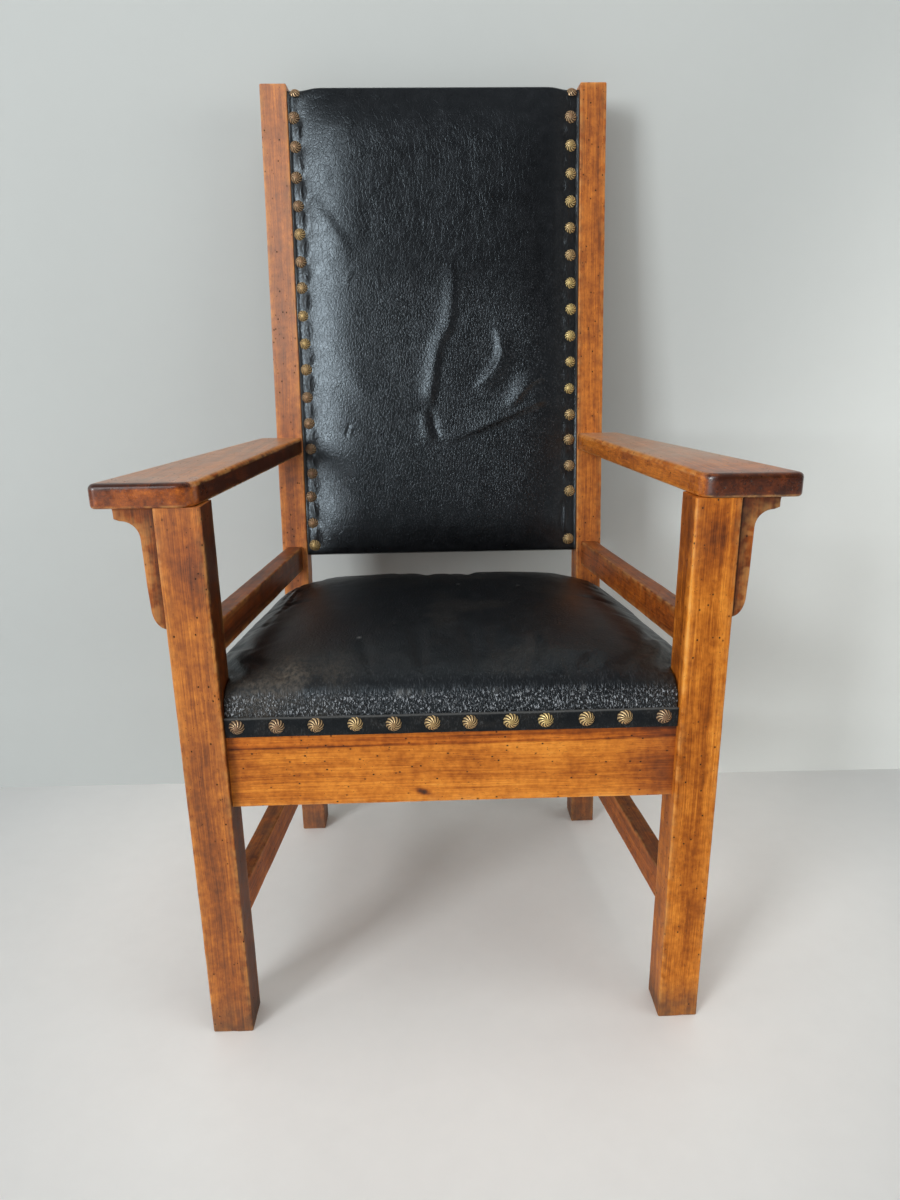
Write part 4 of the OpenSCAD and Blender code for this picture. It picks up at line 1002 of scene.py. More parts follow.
RIGHT_N = ((206.6, 1167.5), (206.9, 1127.4), (207.2, 1087.5), (207.0, 1047.7), (206.8, 1009.7), (207.1, 969.8), (207.4, 928.8), (208.5, 890.1), (207.7, 849.5),
           (208.0, 810.6), (206.6, 769.4), (208.3, 729.0), (207.5, 689.7), (208.3, 648.4), (208.6, 608.5), (207.6, 530.7))
RIGHT_COL = (0.35, 0.72, 0.70, 0.82, 0.66, 0.55, 0.95, 0.98, 0.96, 0.92, 0.98, 0.62, 0.52, 0.48, 0.60, 0.58)


def back_nail_places(rows, cols):
    out = []
    for (x, z), c in zip(rows, cols):
        s = (z - KNEE) / math.cos(RAKE) + BACK_SET * math.tan(RAKE)
        out.append((back_pt(x, BACK_SET - 0.3, s), (0.0, -math.cos(RAKE), math.sin(RAKE)), c))
    return out


def all_nails():
    nails("seat_nails_front_brass", [((x, 6.8, z), (0, -1, 0), c) for x, z, c in zip(FRONT_X, FRONT_Z, FRONT_COL)], "seat_nails_front", 1)
    for s in (LEFT, RIGHT):
        places = []
        a, b = np.array([SX0, SY0, 420.5]), np.array([SX1, SY1, 420.5])
        d = (b - a) / np.linalg.norm(b - a)
        out = np.array([d[1], -d[0], 0.0])
        L = np.linalg.norm(b - a)
        for i in range(9):
            p = a + d * (18 + (L - 36) * i / 8) + out * (14 + 4 - 0.2)
            p[2] += 1.2 * (rand(200 + i * 3 + s) - 0.5)
            places.append(((s * p[0], p[1], p[2]), (s * out[0], out[1], 0), 0.25 + 0.5 * rand(300 + i + 20 * s)))
        nails(f"seat_nails_{side(s)}_brass", places, f"seat_nails_{side(s)}", 5 + s)
    span = 2 * (PXI - 15)
    nails("seat_nails_rear_brass", [((-span / 2 + span * i / 9, 457 + 28 + 4 - 0.2, 420.5 + rand(400 + i) - 0.5), (0, 1, 0), 0.2 + 0.45 * rand(500 + i)) for i in range(10)], "seat_nails_rear", 9)
    nails("back_nails_left_brass", back_nail_places(LEFT_N, LEFT_COL), "back_nails_left", 13)
    nails("back_nails_right_brass", back_nail_places(RIGHT_N, RIGHT_COL), "back_nails_right", 17)
    top = []
    for s in (LEFT, RIGHT):
        nrm = back_pt(0, -math.sqrt(0.5), math.sqrt(0.5)) - back_pt(0, 0, 0)
        top.append((back_pt(s * 208.8, BACK_SET + 4.3, BS1 - 4.3), tuple(nrm), 0.35 if s < 0 else 0.3))
    nails("back_nails_top_brass", top, "back_nails_top", 21)


# ---------------------------------------------------------------- sheets with a turned lip: the two leather covers
def lipped(grid, keep, lip_rings, back):
    """A closed form from a grid of points (rows, cols, 3) with some cells left out. lip_rings(boundary points, where they lie)
    gives the rings that follow the boundary, and back(points) the inner face."""
    rows, cols, _ = grid.shape
    used = np.zeros((rows, cols), bool)
    cells = []
    for i in range(rows - 1):
        for j in range(cols - 1):
            if keep[i, j]:
                cells.append((i, j))
                used[i:i + 2, j:j + 2] = True
    idx = -np.ones((rows, cols), int)
    idx[used] = np.arange(used.sum())
    top = grid[used]
    where = np.argwhere(used)
    quads = [(idx[i, j], idx[i, j + 1], idx[i + 1, j + 1], idx[i + 1, j]) for i, j in cells]
    count = {}
    for q in quads:
        for a, b in zip(q, q[1:] + q[:1]):
            count[(a, b)] = 1
    nxt = {a: b for (a, b) in count if (b, a) not in count}
    first = next(iter(nxt))
    loop = [first]
    while nxt[loop[-1]] != first:
        loop.append(nxt[loop[-1]])
    loop = np.array(loop)
    n, m = len(top), len(loop)
    verts = [top]
    faces = list(quads)
    prev = loop
    base = n
    for ring in lip_rings(top[loop], where[loop]):
        verts.append(ring)
        cur = np.arange(base, base + m)
        for k in range(m):
            j = (k + 1) % m
            faces.append((prev[j], prev[k], cur[k], cur[j]))
        prev = cur
        base += m
    inner = np.delete(np.arange(n), np.unique(loop))
    bot_idx = -np.ones(n, int)
    bot_idx[loop] = prev
    bot_idx[inner] = np.arange(base, base + len(inner))
    verts.append(back(top[inner], where[inner]))
    for q in quads:
        faces.append(tuple(int(bot_idx[k]) for k in q[::-1]))
    return np.vstack(verts), [tuple(int(x) for x in f) for f in faces], n, loop


def settle(name, verts, faces, free, pressure, grow, cap, frames=20, steps=6, tension=25.0):
    """Cloth: the free points swell and buckle while the others stay. Returns the moved points, in millimetres."""
    me = bpy.data.meshes.new(name)
    me.from_pydata(to_row(verts).tolist(), [], [list(f) for f in faces])
    ob = bpy.data.objects.new(name, me)
    sc = bpy.context.scene
    sc.collection.objects.link(ob)
    vg = ob.vertex_groups.new(name="pin")
    pin = 1.0 - free
    levels = np.round(pin, 2)
    for w in np.unique(levels):
        if w > 0:
            vg.add(np.nonzero(levels == w)[0].tolist(), float(w), "REPLACE")
    mod = ob.modifiers.new("cloth", "CLOTH")
    st = mod.settings
    st.quality = steps
    st.mass = 0.3
    st.tension_stiffness = st.compression_stiffness = tension
    st.shear_stiffness = tension * 0.6
    st.bending_stiffness = 1.2
    st.vertex_group_mass = "pin"
    st.use_pressure = True
    st.uniform_pressure_force = pressure
    st.shrink_min = st.shrink_max = -grow
    st.effector_weights.gravity = 0
    mod.collision_settings.use_collision = False
    mod.point_cache.frame_start, mod.point_cache.frame_end = 1, frames
    for f in range(1, frames + 1):
        sc.frame_set(f)
    dg = bpy.context.evaluated_depsgraph_get()
    ev = ob.evaluated_get(dg).to_mesh()
    co = np.zeros(len(ev.vertices) * 3, np.float32)
    ev.vertices.foreach_get("co", co)
    co = co.reshape(-1, 3).astype(float)
    sc.frame_set(1)
    bpy.data.objects.remove(ob)
    out = co * 1e3
    out[:, 1] += Y_MID
    if out.shape != verts.shape or not np.isfinite(out).all():
        return verts
    d = out - verts
    r = np.linalg.norm(d, axis=1, keepdims=True)
    lim = cap * free[:, None]
    return verts + d * np.minimum(1, lim / np.maximum(r, 1e-9))


# ---------------------------------------------------------------- the seat
SEAT_Y0, SEAT_Y1 = 9.0, 487.0


def seat_half(y):
    return side_x(y, 16.0)


def seat_height(x, y):
    """Height of the stuffed top over the point (x, y)."""
    hw = seat_half(y)
    dx = (hw - np.abs(x)) * math.cos(YAW)
    df, db = y - SEAT_Y0, SEAT_Y1 - y
    roll = lambda d: np.sqrt(np.clip(22.0 ** 2 - np.clip(22.0 - d, 0, 22.0) ** 2, 0, None)) / 22.0
    edge = roll(df) * roll(db) * roll(dx)
    full = lambda d, w: 1 - (1 - np.clip(d / w, 0, 1)) ** 3.0
    crown = full(dx, 230.0) * full(df, 239.0) * full(db, 239.0)
    return 440.0 + 22.0 * edge + 35.0 * crown


def seat():
    hx = {"b": 220.4, "a": 259.4}
    s_b, s_a = 44, 51
    cols_half = [0.0] + list(np.arange(1, 59))
    rows = list(np.linspace(SEAT_Y0, 49.6, 9)) + list(np.linspace(49.6, 445.5, 80)[1:]) + list(np.linspace(445.5, SEAT_Y1, 9)[1:])
    ys = np.array(rows)
    row_a, row_b = 8, 8 + 79
    u = np.arange(0, 59) / 58.0
    grid = np.zeros((len(ys), 117, 3))
    for i, y in enumerate(ys):
        hw = float(seat_half(y))
        t = np.clip((y - 49.6) / (445.5 - 49.6), 0, 1)
        xa = hx["a"] * (1 - t) + (220.4 + (hw - 220.4) * 0.5) * t
        xb = (hx["a"] * s_b / s_a) * (1 - t) + hx["b"] * t
        k = np.arange(0, 59)
        x = np.where(k <= s_b, xb * k / s_b, np.where(k <= s_a, xb + (xa - xb) * (k - s_b) / (s_a - s_b), xa + (hw - xa) * (k - s_a) / (58 - s_a)))
        full = np.concatenate([-x[:0:-1], x])
        grid[i, :, 0] = full
        grid[i, :, 1] = y
    grid[..., 2] = seat_height(grid[..., 0], grid[..., 1])
    # behind row_b the notch follows the post's leaning front
    keep = np.ones((len(ys) - 1, 116), bool)
    for i in range(len(ys) - 1):
        for j in range(116):
            k = abs(j - 58 + (0.5)) + 0.5           # outer column number of the cell
            if i < row_a and k > s_a:
                keep[i, j] = False
            if i >= row_b and k > s_b:
                keep[i, j] = False

    def at_outline(p, where):
        i, j = where[:, 0], np.abs(where[:, 1] - 58)
        return (i == 0) | (i == len(ys) - 1) | (j == 58)

    def lips(p, where):
        out = at_outline(p, where)
        c = np.array([0.0, 240.0])
        to = c - p[:, :2]
        to /= np.linalg.norm(to, axis=1, keepdims=True)
        i, j = where[:, 0], np.abs(where[:, 1] - 58)
        inn = np.zeros((len(p), 2))
        inn[:, 1] += np.where(i == 0, 1.0, 0) - np.where(i == len(ys) - 1, 1.0, 0)
        inn[:, 0] += np.where((j == 58), -np.sign(p[:, 0]), 0)
        notch = ~out
        inn[notch, 0] = -np.sign(p[notch, 0]) * ((j[notch] == s_a) & (i[notch] < row_a) | (j[notch] == s_b) & (i[notch] > row_b))
        inn[notch, 1] = np.where((i[notch] == row_a) & (j[notch] >= s_a), 1.0, np.where((i[notch] == row_b) & (j[notch] >= s_b), -1.0, inn[notch, 1]))
        low = np.where(out, 412.0, 431.4)
        rings = []
        for t in (0.25, 0.5, 0.75, 1.0):
            q = p.copy()
            q[:, 2] = p[:, 2] + (low - p[:, 2]) * t
            rings.append(q)
        q = rings[-1].copy()
        q[:, :2] += inn * 1.9
        rings.append(q)
        q = q.copy()
        q[:, 2] = 433.7
        rings.append(q)
        return rings

    def under(p, where):
        q = p.copy()
        q[:, 2] = 433.7
        return q

    v, f, n, loop = lipped(grid, keep, lips, under)
    # what may move: the top, less and less towards its edges
    free = np.zeros(len(v))
    d = np.minimum.reduce([v[:n, 1] - SEAT_Y0, SEAT_Y1 - v[:n, 1], seat_half(v[:n, 1]) - np.abs(v[:n, 0])])
    leg = np.hypot(np.maximum(259.4 - np.abs(v[:n, 0]), 0), np.maximum(v[:n, 1] - 49.6, 0))
    post = np.hypot(np.maximum(220.4 - np.abs(v[:n, 0]), 0), np.maximum(445.5 - v[:n, 1], 0))
    free[:n] = smooth(d, 1.0, 30.0) * smooth(leg, 0, 22) * smooth(post, 0, 26)
    free[loop] = 0
    v = settle("seat_cloth", v, f, free, 3.2, 0.016, 5.0)
    p = v[:n]
    x, y, z = p[:, 0].copy(), p[:, 1].copy(), p[:, 2].copy()
    up = smooth(z, 441, 452)
    front = 1 - smooth(y, 26, 60)
    lift = np.zeros(n)
    # soft unevenness of the stuffing
    lift += up * (1.6 * fbm(np.stack([x / 120.0, y / 95.0, 0 * x], -1), 301, 3) + 0.5 * fbm(np.stack([x / 38.0, y / 30.0, 0 * x], -1), 302, 2))
    # pulled down beside the rear posts and the front legs
    for s in (LEFT, RIGHT):
        r = np.hypot(x - s * 232, y - 452)
        lift -= (7.0 if s < 0 else 4.5) * np.exp(-(r / 34.0) ** 2)
        r = np.hypot(x - s * 268, y - 44)
        lift -= 3.0 * np.exp(-(r / 26.0) ** 2)
    # creases that fan out from the rear posts along the sides
    fans = [(LEFT, (-236, 438), (-262, 300), 1.5, 5.0), (LEFT, (-228, 436), (-246, 300), 2.4, 6.0), (LEFT, (-218, 430), (-232, 205), 2.8, 6.5), (LEFT, (-205, 436), (-196, 300), 1.6, 7.0),
            (LEFT, (-190, 446), (-160, 372), 1.2, 7.0), (LEFT, (-250, 330), (-272, 160), 1.6, 6.0), (LEFT, (-222, 290), (-256, 150), 1.7, 7.0),
            (RIGHT, (238, 436), (262, 290), 1.6, 6.0), (RIGHT, (228, 434), (238, 300), 1.8, 6.5), (RIGHT, (252, 330), (272, 190), 1.3, 6.0), (RIGHT, (212, 440), (190, 340), 0.8, 8.0),
            (LEFT, (-262, 62), (-200, 110), 0.9, 7.0), (RIGHT, (262, 62), (205, 105), 1.0, 7.0), (RIGHT, (264, 75), (236, 150), 0.9, 7.0)]
    for s, a, b, h, w in fans:
        mid = ((a[0] + b[0]) / 2 + s * 5, (a[1] + b[1]) / 2)
        dist, share = to_line(x, y, curve_through([a, mid, b], 6))
        lift += h * np.sin(np.pi * np.clip(share, 0.02, 1)) ** 0.7 * (gauss(dist, w * 0.5) - 0.6 * gauss(dist - w, w * 0.6))
    # the front roll is crinkled across
    roll = smooth(y, 8.9, 12) * (1 - smooth(y, 30, 44)) * (1 - smooth(np.abs(x), 255, 262) * 0.4)
    q = np.stack([x / 9.0, y / 3.2, 0 * x], -1)
    crinkle = 0.55 * fbm(q, 311, 2) + 0.35 * fbm(np.stack([x / 4.5, y / 3.0, z / 3.0], -1), 312, 2)
    flat_n = np.stack([0 * x, -np.sqrt(np.clip(1 - ((y - 9) / 22.0), 0, 1)), np.sqrt(np.clip((y - 9) / 22.0, 0.05, 1))], -1)
    line = 453.5 + 0.6 * fbm(np.stack([x / 40.0, 0 * x, 0 * x], -1), 315, 2)
    crest = gauss(z - line, 1.3) * (1 - smooth(y, 20, 30))
    p = p + flat_n * (roll * crinkle * 0.9)[:, None] + flat_n * (0.8 * crest)[:, None]
    p[:, 2] += lift
    v[:n] = p
    # finish: one subdivision, then attributes by place
    ob = make("seat_cover", v, f, None, SEAT_HIDE)
    ob.data.update()
    subdivide(ob)
    co = points(ob)
    x, y, z = co[:, 0], co[:, 1], co[:, 2]
    at = {"lc": np.stack([x, y - np.where(z < 455, (455 - z), 0) * (y < 60), 0 * x], -1) * 1e-3}
    rollz = (1 - smooth(y, 26, 40)) * smooth(z, 425, 436)
    n1 = fbm(np.stack([x / 60.0, y / 50.0, z / 60.0], -1), 321, 3)
    at["crackle"] = np.clip(rollz * (1 - smooth(y, 11.5, 17)) * (0.9 + 0.5 * n1) + 0.05 * (1 - smooth(y, 20, 60)), 0, 1)
    at["pebble"] = np.clip(0.35 + 0.25 * n1, 0, 1)
    fl = gauss(np.hypot((x + 196) / 42.0, (y - 34) / 22.0), 1.0) * smooth(n1, -0.5, 0.3)
    fr = gauss(np.hypot((x - 255) / 26.0, (y - 60) / 32.0), 1.0)
    at["dust"] = np.clip(0.75 * fl + 0.40 * fr + 0.10 * smooth(n1, 0.1, 0.7), 0, 1)
    at["dull"] = np.clip(0.5 + 0.5 * fbm(np.stack([x / 150.0, y / 120.0, 0 * x], -1), 331, 2), 0, 1)
    # small pale spots on the top; the short pale dashes along the roll's crest are painted highlights
    pale = np.zeros(len(x))
    for (a, b, r) in ((61, 382, 2.6), (19, 301, 2.0), (105, 294, 1.8), (-111, 99, 2.0)):
        pale = np.maximum(pale, 0.6 * gauss(np.hypot(x - a, y - b), r * 0.6))
    for (a, r) in ((-60, 2.6), (-50, 2.2), (-33, 1.6), (49, 3.0), (150, 1.6)):
        pale = np.maximum(pale, 0.9 * gauss(x - a, r) * gauss(z - 456.2, 0.7) * (y < 30))
    at["pale"] = pale
    at["dark"] = np.zeros(len(x))
    set_attrs(ob, at)
    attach(ob, "root")
    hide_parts("seat_leather", "seat_stuffing")
    return ob


def subdivide(ob, levels=1):
    bpy.context.view_layer.objects.active = ob
    mod = ob.modifiers.new("sub", "SUBSURF")
    mod.levels = mod.render_levels = levels
    dg = bpy.context.evaluated_depsgraph_get()
    me = bpy.data.meshes.new_from_object(ob.evaluated_get(dg))
    ob.modifiers.remove(mod)
    old = ob.data
    mats = [m for m in old.materials]
    ob.data = me
    me.materials.clear()
    for m in mats:
        me.materials.append(m)
    bpy.data.meshes.remove(old)
    me.polygons.foreach_set("use_smooth", [True] * len(me.polygons))
    me.update()


def points(ob):
    co = np.zeros(len(ob.data.vertices) * 3, np.float32)
    ob.data.vertices.foreach_get("co", co)
    co = co.reshape(-1, 3).astype(float) * 1e3
    co[:, 1] += Y_MID
    return co


def set_attrs(ob, at):
    me = ob.data
    for key, val in at.items():
        if key in me.attributes:
            me.attributes.remove(me.attributes[key])
        val = np.asarray(val, np.float32)
        if val.ndim == 2:
            a = me.attributes.new(key, "FLOAT_VECTOR", "POINT")
            a.data.foreach_set("vector", val.ravel())
        else:
            a = me.attributes.new(key, "FLOAT", "POINT")
            a.data.foreach_set("value", val.ravel())


# ---------------------------------------------------------------- the back
# creases seen on the panel, in its own frame: x across, s up the slope
RIDGE = curve_through([(24.4, 560.0), (22.6, 521.4), (23.8, 492.0), (21.5, 462.4), (17.0, 438.0), (4.5, 417.0), (-2.6, 397.0), (-7.2, 370.0), (-10.8, 347.0), (-15.0, 327.0), (-18.5, 313.0)])
PINCH = curve_through([(-16.5, 314.4), (-12.4, 298.9), (-8.5, 282.0), (-2.4, 264.5)])
FOLD_A = curve_through([(90.0, 440.0), (95.9, 413.6), (97.3, 395.4), (89.3, 375.8), (73.4, 357.7), (55.8, 339.5)])
FOLD_B = curve_through([(108.0, 314.0), (116.5, 321.7), (125.5, 330.9), (138.2, 346.1), (152.5, 356.6), (168.3, 362.5)])
STEP_C = curve_through([(174.0, 329.0), (150.9, 318.1), (119.0, 304.7), (90.3, 292.7), (59.9, 280.7), (31.1, 270.2), (11.8, 264.2)])
SOFT_D = curve_through([(-150.0, 395.0), (-136.8, 371.2), (-117.6, 340.5), (-86.8, 317.0), (-47.6, 308.7), (-21.0, 311.4)])
DIAG_E = curve_through([(-192.0, 632.0), (-188.0, 624.2), (-173.8, 602.7), (-156.7, 578.2), (-140.9, 552.1), (-133.9, 534.6)])


def back_bulge(x, s):
    dx = BX - np.abs(x)
    X = 1 - (1 - np.clip((dx - 16.5) / 88.0, 0, 1)) ** 2.3
    top = 1 - (1 - np.clip((BS1 - s) / 95.0, 0, 1)) ** 2.6
    low = 1 - (1 - np.clip((s - BS0) / 95.0, 0, 1)) ** 2.6
    return 16.0 * X * top * low


def back_panel():
    nx, nz = 98, 152
    xs = np.linspace(-BX, BX, nx)
    ss = np.linspace(BS0, BS1, nz - 4)
    ss = np.sort(np.concatenate([ss, [BS0 + 1.2, BS0 + 2.8, BS1 - 2.8, BS1 - 1.2]]))
    X, Sg = np.meshgrid(xs, ss)
    # the leather rolls over the frame's top and bottom edges
    ax = np.abs(X)
    rt = 2.6 + 6.6 * smooth(ax, 178, 206)                    # radius of the top roll: larger at the nailed corners
    rb = 5.0
    back_off = np.zeros_like(X)
    ttop = np.clip((Sg - (BS1 - rt)) / rt, 0, 1)
    back_off += rt * (1 - np.sqrt(np.clip(1 - ttop ** 2, 0, 1)))
    tlow = np.clip((BS0 + rb - Sg) / rb, 0, 1)
    back_off += rb * (1 - np.sqrt(np.clip(1 - tlow ** 2, 0, 1)))
    dep = BACK_SET + back_off - back_bulge(X, Sg)
    Sg = Sg + (1.0 + 2.4 * (1 - smooth(ax, 168, 206))) * smooth(Sg, BS1 - 16, BS1)      # fuller over the top rail than at its corners
    grid = np.stack([X, dep, Sg], -1)                         # kept in the panel's own frame until the end
    keep = np.ones((nz - 1, nx - 1), bool)

    def lips(p, where):
        i, j = where[:, 0], where[:, 1]
        top, low = i == nz - 1, i == 0
        far = np.where(top | low, BACK_SET + HIDE + BACK_T, BACK_SET + HIDE)
        inn = np.zeros((len(p), 2))
        inn[:, 0] = np.where((j == 0), 1.0, np.where(j == nx - 1, -1.0, 0.0))
        inn[:, 1] = np.where(low, 1.0, np.where(top, -1.0, 0.0))
        rings = []
        for t in (0.05, 0.34, 0.67, 1.0):
            q = p.copy()
            q[:, 1] = p[:, 1] + (far - p[:, 1]) * t
            rings.append(q)
        q = rings[-1].copy()
        q[:, 0] += inn[:, 0] * np.where(top | low, 1.9, 0.6)
        q[:, 2] += inn[:, 1] * 1.9
        rings.append(q)
        q = q.copy()
        q[:, 1] = np.where(top | low, BACK_SET + HIDE + 0.05, BACK_SET + HIDE)
        rings.append(q)
        return rings

    def under(p, where):
        q = p.copy()
        q[:, 1] = BACK_SET + HIDE
        q[:, 2] = np.clip(q[:, 2], BS0 + 2.0, BS1 - 2.0) + 0.0004 * (p[:, 2] - BS0)
        return q

    v, f, n, loop = lipped(grid, keep, lips, under)
    world = back_pt(v[:, 0], v[:, 1], v[:, 2])
    x, s = v[:n, 0], v[:n, 2]
    free = np.zeros(len(v))
    dx, ds = BX - np.abs(x), np.minimum(BS1 - s, s - BS0)
    free[:n] = smooth(dx, 16, 44) * smooth(ds, 3, 30)
    free[loop] = 0
    moved = settle("back_cloth", world, f, free, 3.0, 0.014, 4.0)
    rel = moved - np.array([0.0, KNEE_Y, KNEE])
    c, sn = math.cos(RAKE), math.sin(RAKE)
    v = np.stack([rel[:, 0], c * rel[:, 1] - sn * rel[:, 2], sn * rel[:, 1] + c * rel[:, 2]], -1)
    ob = make("back_cover", back_pt(v[:, 0], v[:, 1], v[:, 2]), f, None, BACK_HIDE)
    subdivide(ob)
    co = points(ob)
    rel = co - np.array([0.0, KNEE_Y, KNEE])
    x, d, s = rel[:, 0], c * rel[:, 1] - sn * rel[:, 2], sn * rel[:, 1] + c * rel[:, 2]
    face = 1 - smooth(d, BACK_SET + 1.2, BACK_SET + 1.9) * (np.abs(x) < BX + 1)    # the front sheet, not the inner face
    face = np.where(d > BACK_SET + 1.9, 0, face)
    inside = smooth(BX - np.abs(x), 0.5, 3.0) * smooth(s, BS0 + 6, BS0 + 14) * (1 - smooth(s, BS1 - 14, BS1 - 8))
    h = np.zeros(len(x))
    # the main ridge: gentle on its left, steep on its right
    dist, share = to_line(x, s, RIDGE[::-1])
    amp = 4.7 * smooth(share, 0.0, 0.10) * (1 - smooth(share, 0.50, 0.98))
    right = dist < 0
    h += amp * np.where(right, gauss(dist, 3.4), gauss(dist, 10.5))
    h -= 0.07 * amp * gauss(dist + 10.0, 6.0)
    dist, share = to_line(x, s, PINCH)
    amp = 3.4 * np.sin(np.pi * np.clip(share, 0, 1)) ** 0.8
    h -= amp * gauss(dist, 4.6)
    h += 0.9 * amp * gauss(dist + 12.0, 7.0)
    dist, share = to_line(x, s, FOLD_A)
    amp = 5.6 * np.sin(np.pi * np.clip(share, 0.02, 1)) ** 0.9
    h += amp * np.where(dist > 0, gauss(dist, 14.0), gauss(dist, 5.0))
    h -= 0.12 * amp * gauss(dist - 22.0, 9.0)
    dist, share = to_line(x, s, FOLD_B)
    amp = 5.2 * np.sin(np.pi * np.clip(share * 0.92 + 0.06, 0, 1)) ** 0.8
    h += amp * np.where(dist > 0, gauss(dist, 10.0), gauss(dist, 3.6))
    h -= 0.12 * amp * gauss(dist + 10.0, 6.0)
    dist, share = to_line(x, s, STEP_C)
    amp = 5.6 * smooth(share, 0.0, 0.12) * (1 - 0.75 * smooth(share, 0.45, 1.0))
    above = dist < 0
    h += amp * np.where(above, np.exp(-np.abs(dist) / 26.0), gauss(dist, 3.2))
    h -= 0.12 * amp * gauss(dist - 10.0, 6.0)
    dist, share = to_line(x, s, SOFT_D)
    h += 2.6 * np.sin(np.pi * np.clip(share, 0, 1)) * np.where(dist > 0, gauss(dist, 24.0), gauss(dist, 13.0))
    dist, share = to_line(x, s, DIAG_E)
    h += 2.0 * np.sin(np.pi * np.clip(share * 0.9 + 0.08, 0, 1)) * np.where(dist < 0, gauss(dist, 22.0), gauss(dist, 7.0))
    # broad hollows and waves
    h += 1.3 * fbm(np.stack([x / 95.0, s / 120.0, 0 * x], -1), 401, 3) + 0.35 * fbm(np.stack([x / 26.0, s / 34.0, 0 * x], -1), 402, 2)
    h -= 1.6 * gauss(np.hypot((x - 62) / 42.0, (s - 410) / 60.0), 1.0)
    for (a, b, e, g, w, am) in ((-95, 520, -90, 488, 2.0, 0.5), (-18, 610, -20, 570, 1.8, 0.5), (-131, 523, -143, 501, 2.5, 0.5), (60, 600, 66, 560, 2.0, 0.3),
                                (150, 640, 152, 560, 2.2, 0.4), (183, 650, 184, 470, 1.8, 0.7), (172, 240, 168, 150, 2.4, 0.6)):
        dist, share = to_line(x, s, [(a, b), (e, g)])
        h += am * np.sin(np.pi * np.clip(share, 0.03, 0.97)) * gauss(dist, w)
    # pulled in at each nail, standing up between them, with short pleats
    for sgn, row in ((LEFT, LEFT_N), (RIGHT, RIGHT_N)):
        zs = [(z - KNEE) / math.cos(RAKE) + BACK_SET * math.tan(RAKE) for _, z in row]
        xn = np.mean([a for a, _ in row])
        puff = np.zeros(len(x))
        dimple = np.zeros(len(x))
        for k, zn in enumerate(zs):
            r2 = ((x - xn) / 9.5) ** 2 + ((s - zn) / 8.5) ** 2
            dimple = np.maximum(dimple, np.exp(-r2))
        for k in range(len(zs) - 1):
            zm, span = (zs[k] + zs[k + 1]) / 2, zs[k] - zs[k + 1]
            a = 2.6 + 1.2 * rand(700 + k * 3 + sgn) + (0.8 if span > 60 else 0)
            off = sgn * (-3.5 + 2.5 * (rand(800 + k + 5 * sgn) - 0.5))
            bend = sgn * 5.0 * (1 - ((s - zm) / (span / 2)) ** 2)
            puff += a * gauss(x - (xn + off) + bend * 0.35, 4.2) * gauss((s - zm) / span, 0.27)
            # a sharp pleat leaning across each gap
            tilt = (rand(900 + k + 11 * sgn) - 0.5) * 9.0
            dist, share = to_line(x, s, [(xn - sgn * 6 + tilt, zs[k] - 9), (xn - sgn * 3.5, zm), (xn - sgn * 7 - tilt * 0.6, zs[k + 1] + 9)])
            puff += 1.3 * np.sin(np.pi * np.clip(share, 0.02, 0.98)) * (gauss(dist, 1.3) - 0.7 * gauss(dist - 2.6, 1.3))
        h += puff - 1.1 * dimple * (BX - np.abs(x) > 2)
    # the turned edge beside each post
    edge = BX - np.abs(x)
    h += 1.1 * gauss(edge - 1.6, 0.9) - 1.0 * gauss(edge - 4.2, 1.6)
    # a small tear
    tear, tshare = to_line(x, s, [(-142.5, 292.0), (-145.0, 283.0), (-149.5, 272.0)])
    slit = gauss(tear, 1.6) * smooth(tshare, 0, 0.12) * (1 - smooth(tshare, 0.85, 1.0))
    h += 1.4 * gauss(tear - 2.6, 2.0) * np.sin(np.pi * tshare) - 1.6 * slit
    d2 = d - h * inside * face
    new = back_pt(x, d2, s)
    co = to_row(new)
    ob.data.vertices.foreach_set("co", co.astype(np.float32).ravel())
    ob.data.update()
    rough_patch = (1 - smooth(s + 55 * fbm(np.stack([x / 60.0, s / 60.0, 0 * x], -1), 5, 2), 440, 620)) * smooth(s, 60, 200)
    rough_patch *= 1 - 0.55 * smooth(np.abs(x - 20), 120, 190)
    n1 = fbm(np.stack([x / 50.0, s / 50.0, 0 * x], -1), 421, 3)
    wear = smooth(np.abs(x + 5), 175, 200)
    # pale is a painted highlight along the turned edge beside each post; dark is painted shade in the fold beside it
    # and in the tear's slit
    at = {"lc": np.stack([x, s, 0.3 * d], -1) * 1e-3, "pebble": np.clip(0.05 + 0.88 * rough_patch + 0.1 * n1, 0, 1),
          "crackle": np.clip(0.42 * rough_patch + 0.12 * wear, 0, 1), "dust": np.clip(0.05 * wear, 0, 1), "pale": np.clip(0.20 * gauss(edge - 1.3, 0.9) * face, 0, 1),
          "dark": np.clip(0.95 * slit + 0.75 * gauss(edge - 4.6, 1.8) * face, 0, 1), "dull": np.clip(0.2 + 0.1 * rough_patch + 0.2 * n1, 0, 1)}
    set_attrs(ob, at)
    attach(ob, "root")
    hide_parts("back_leather", "back_stuffing", "back_hessian", "back_webbing_upright", "back_webbing_cross")
    return ob


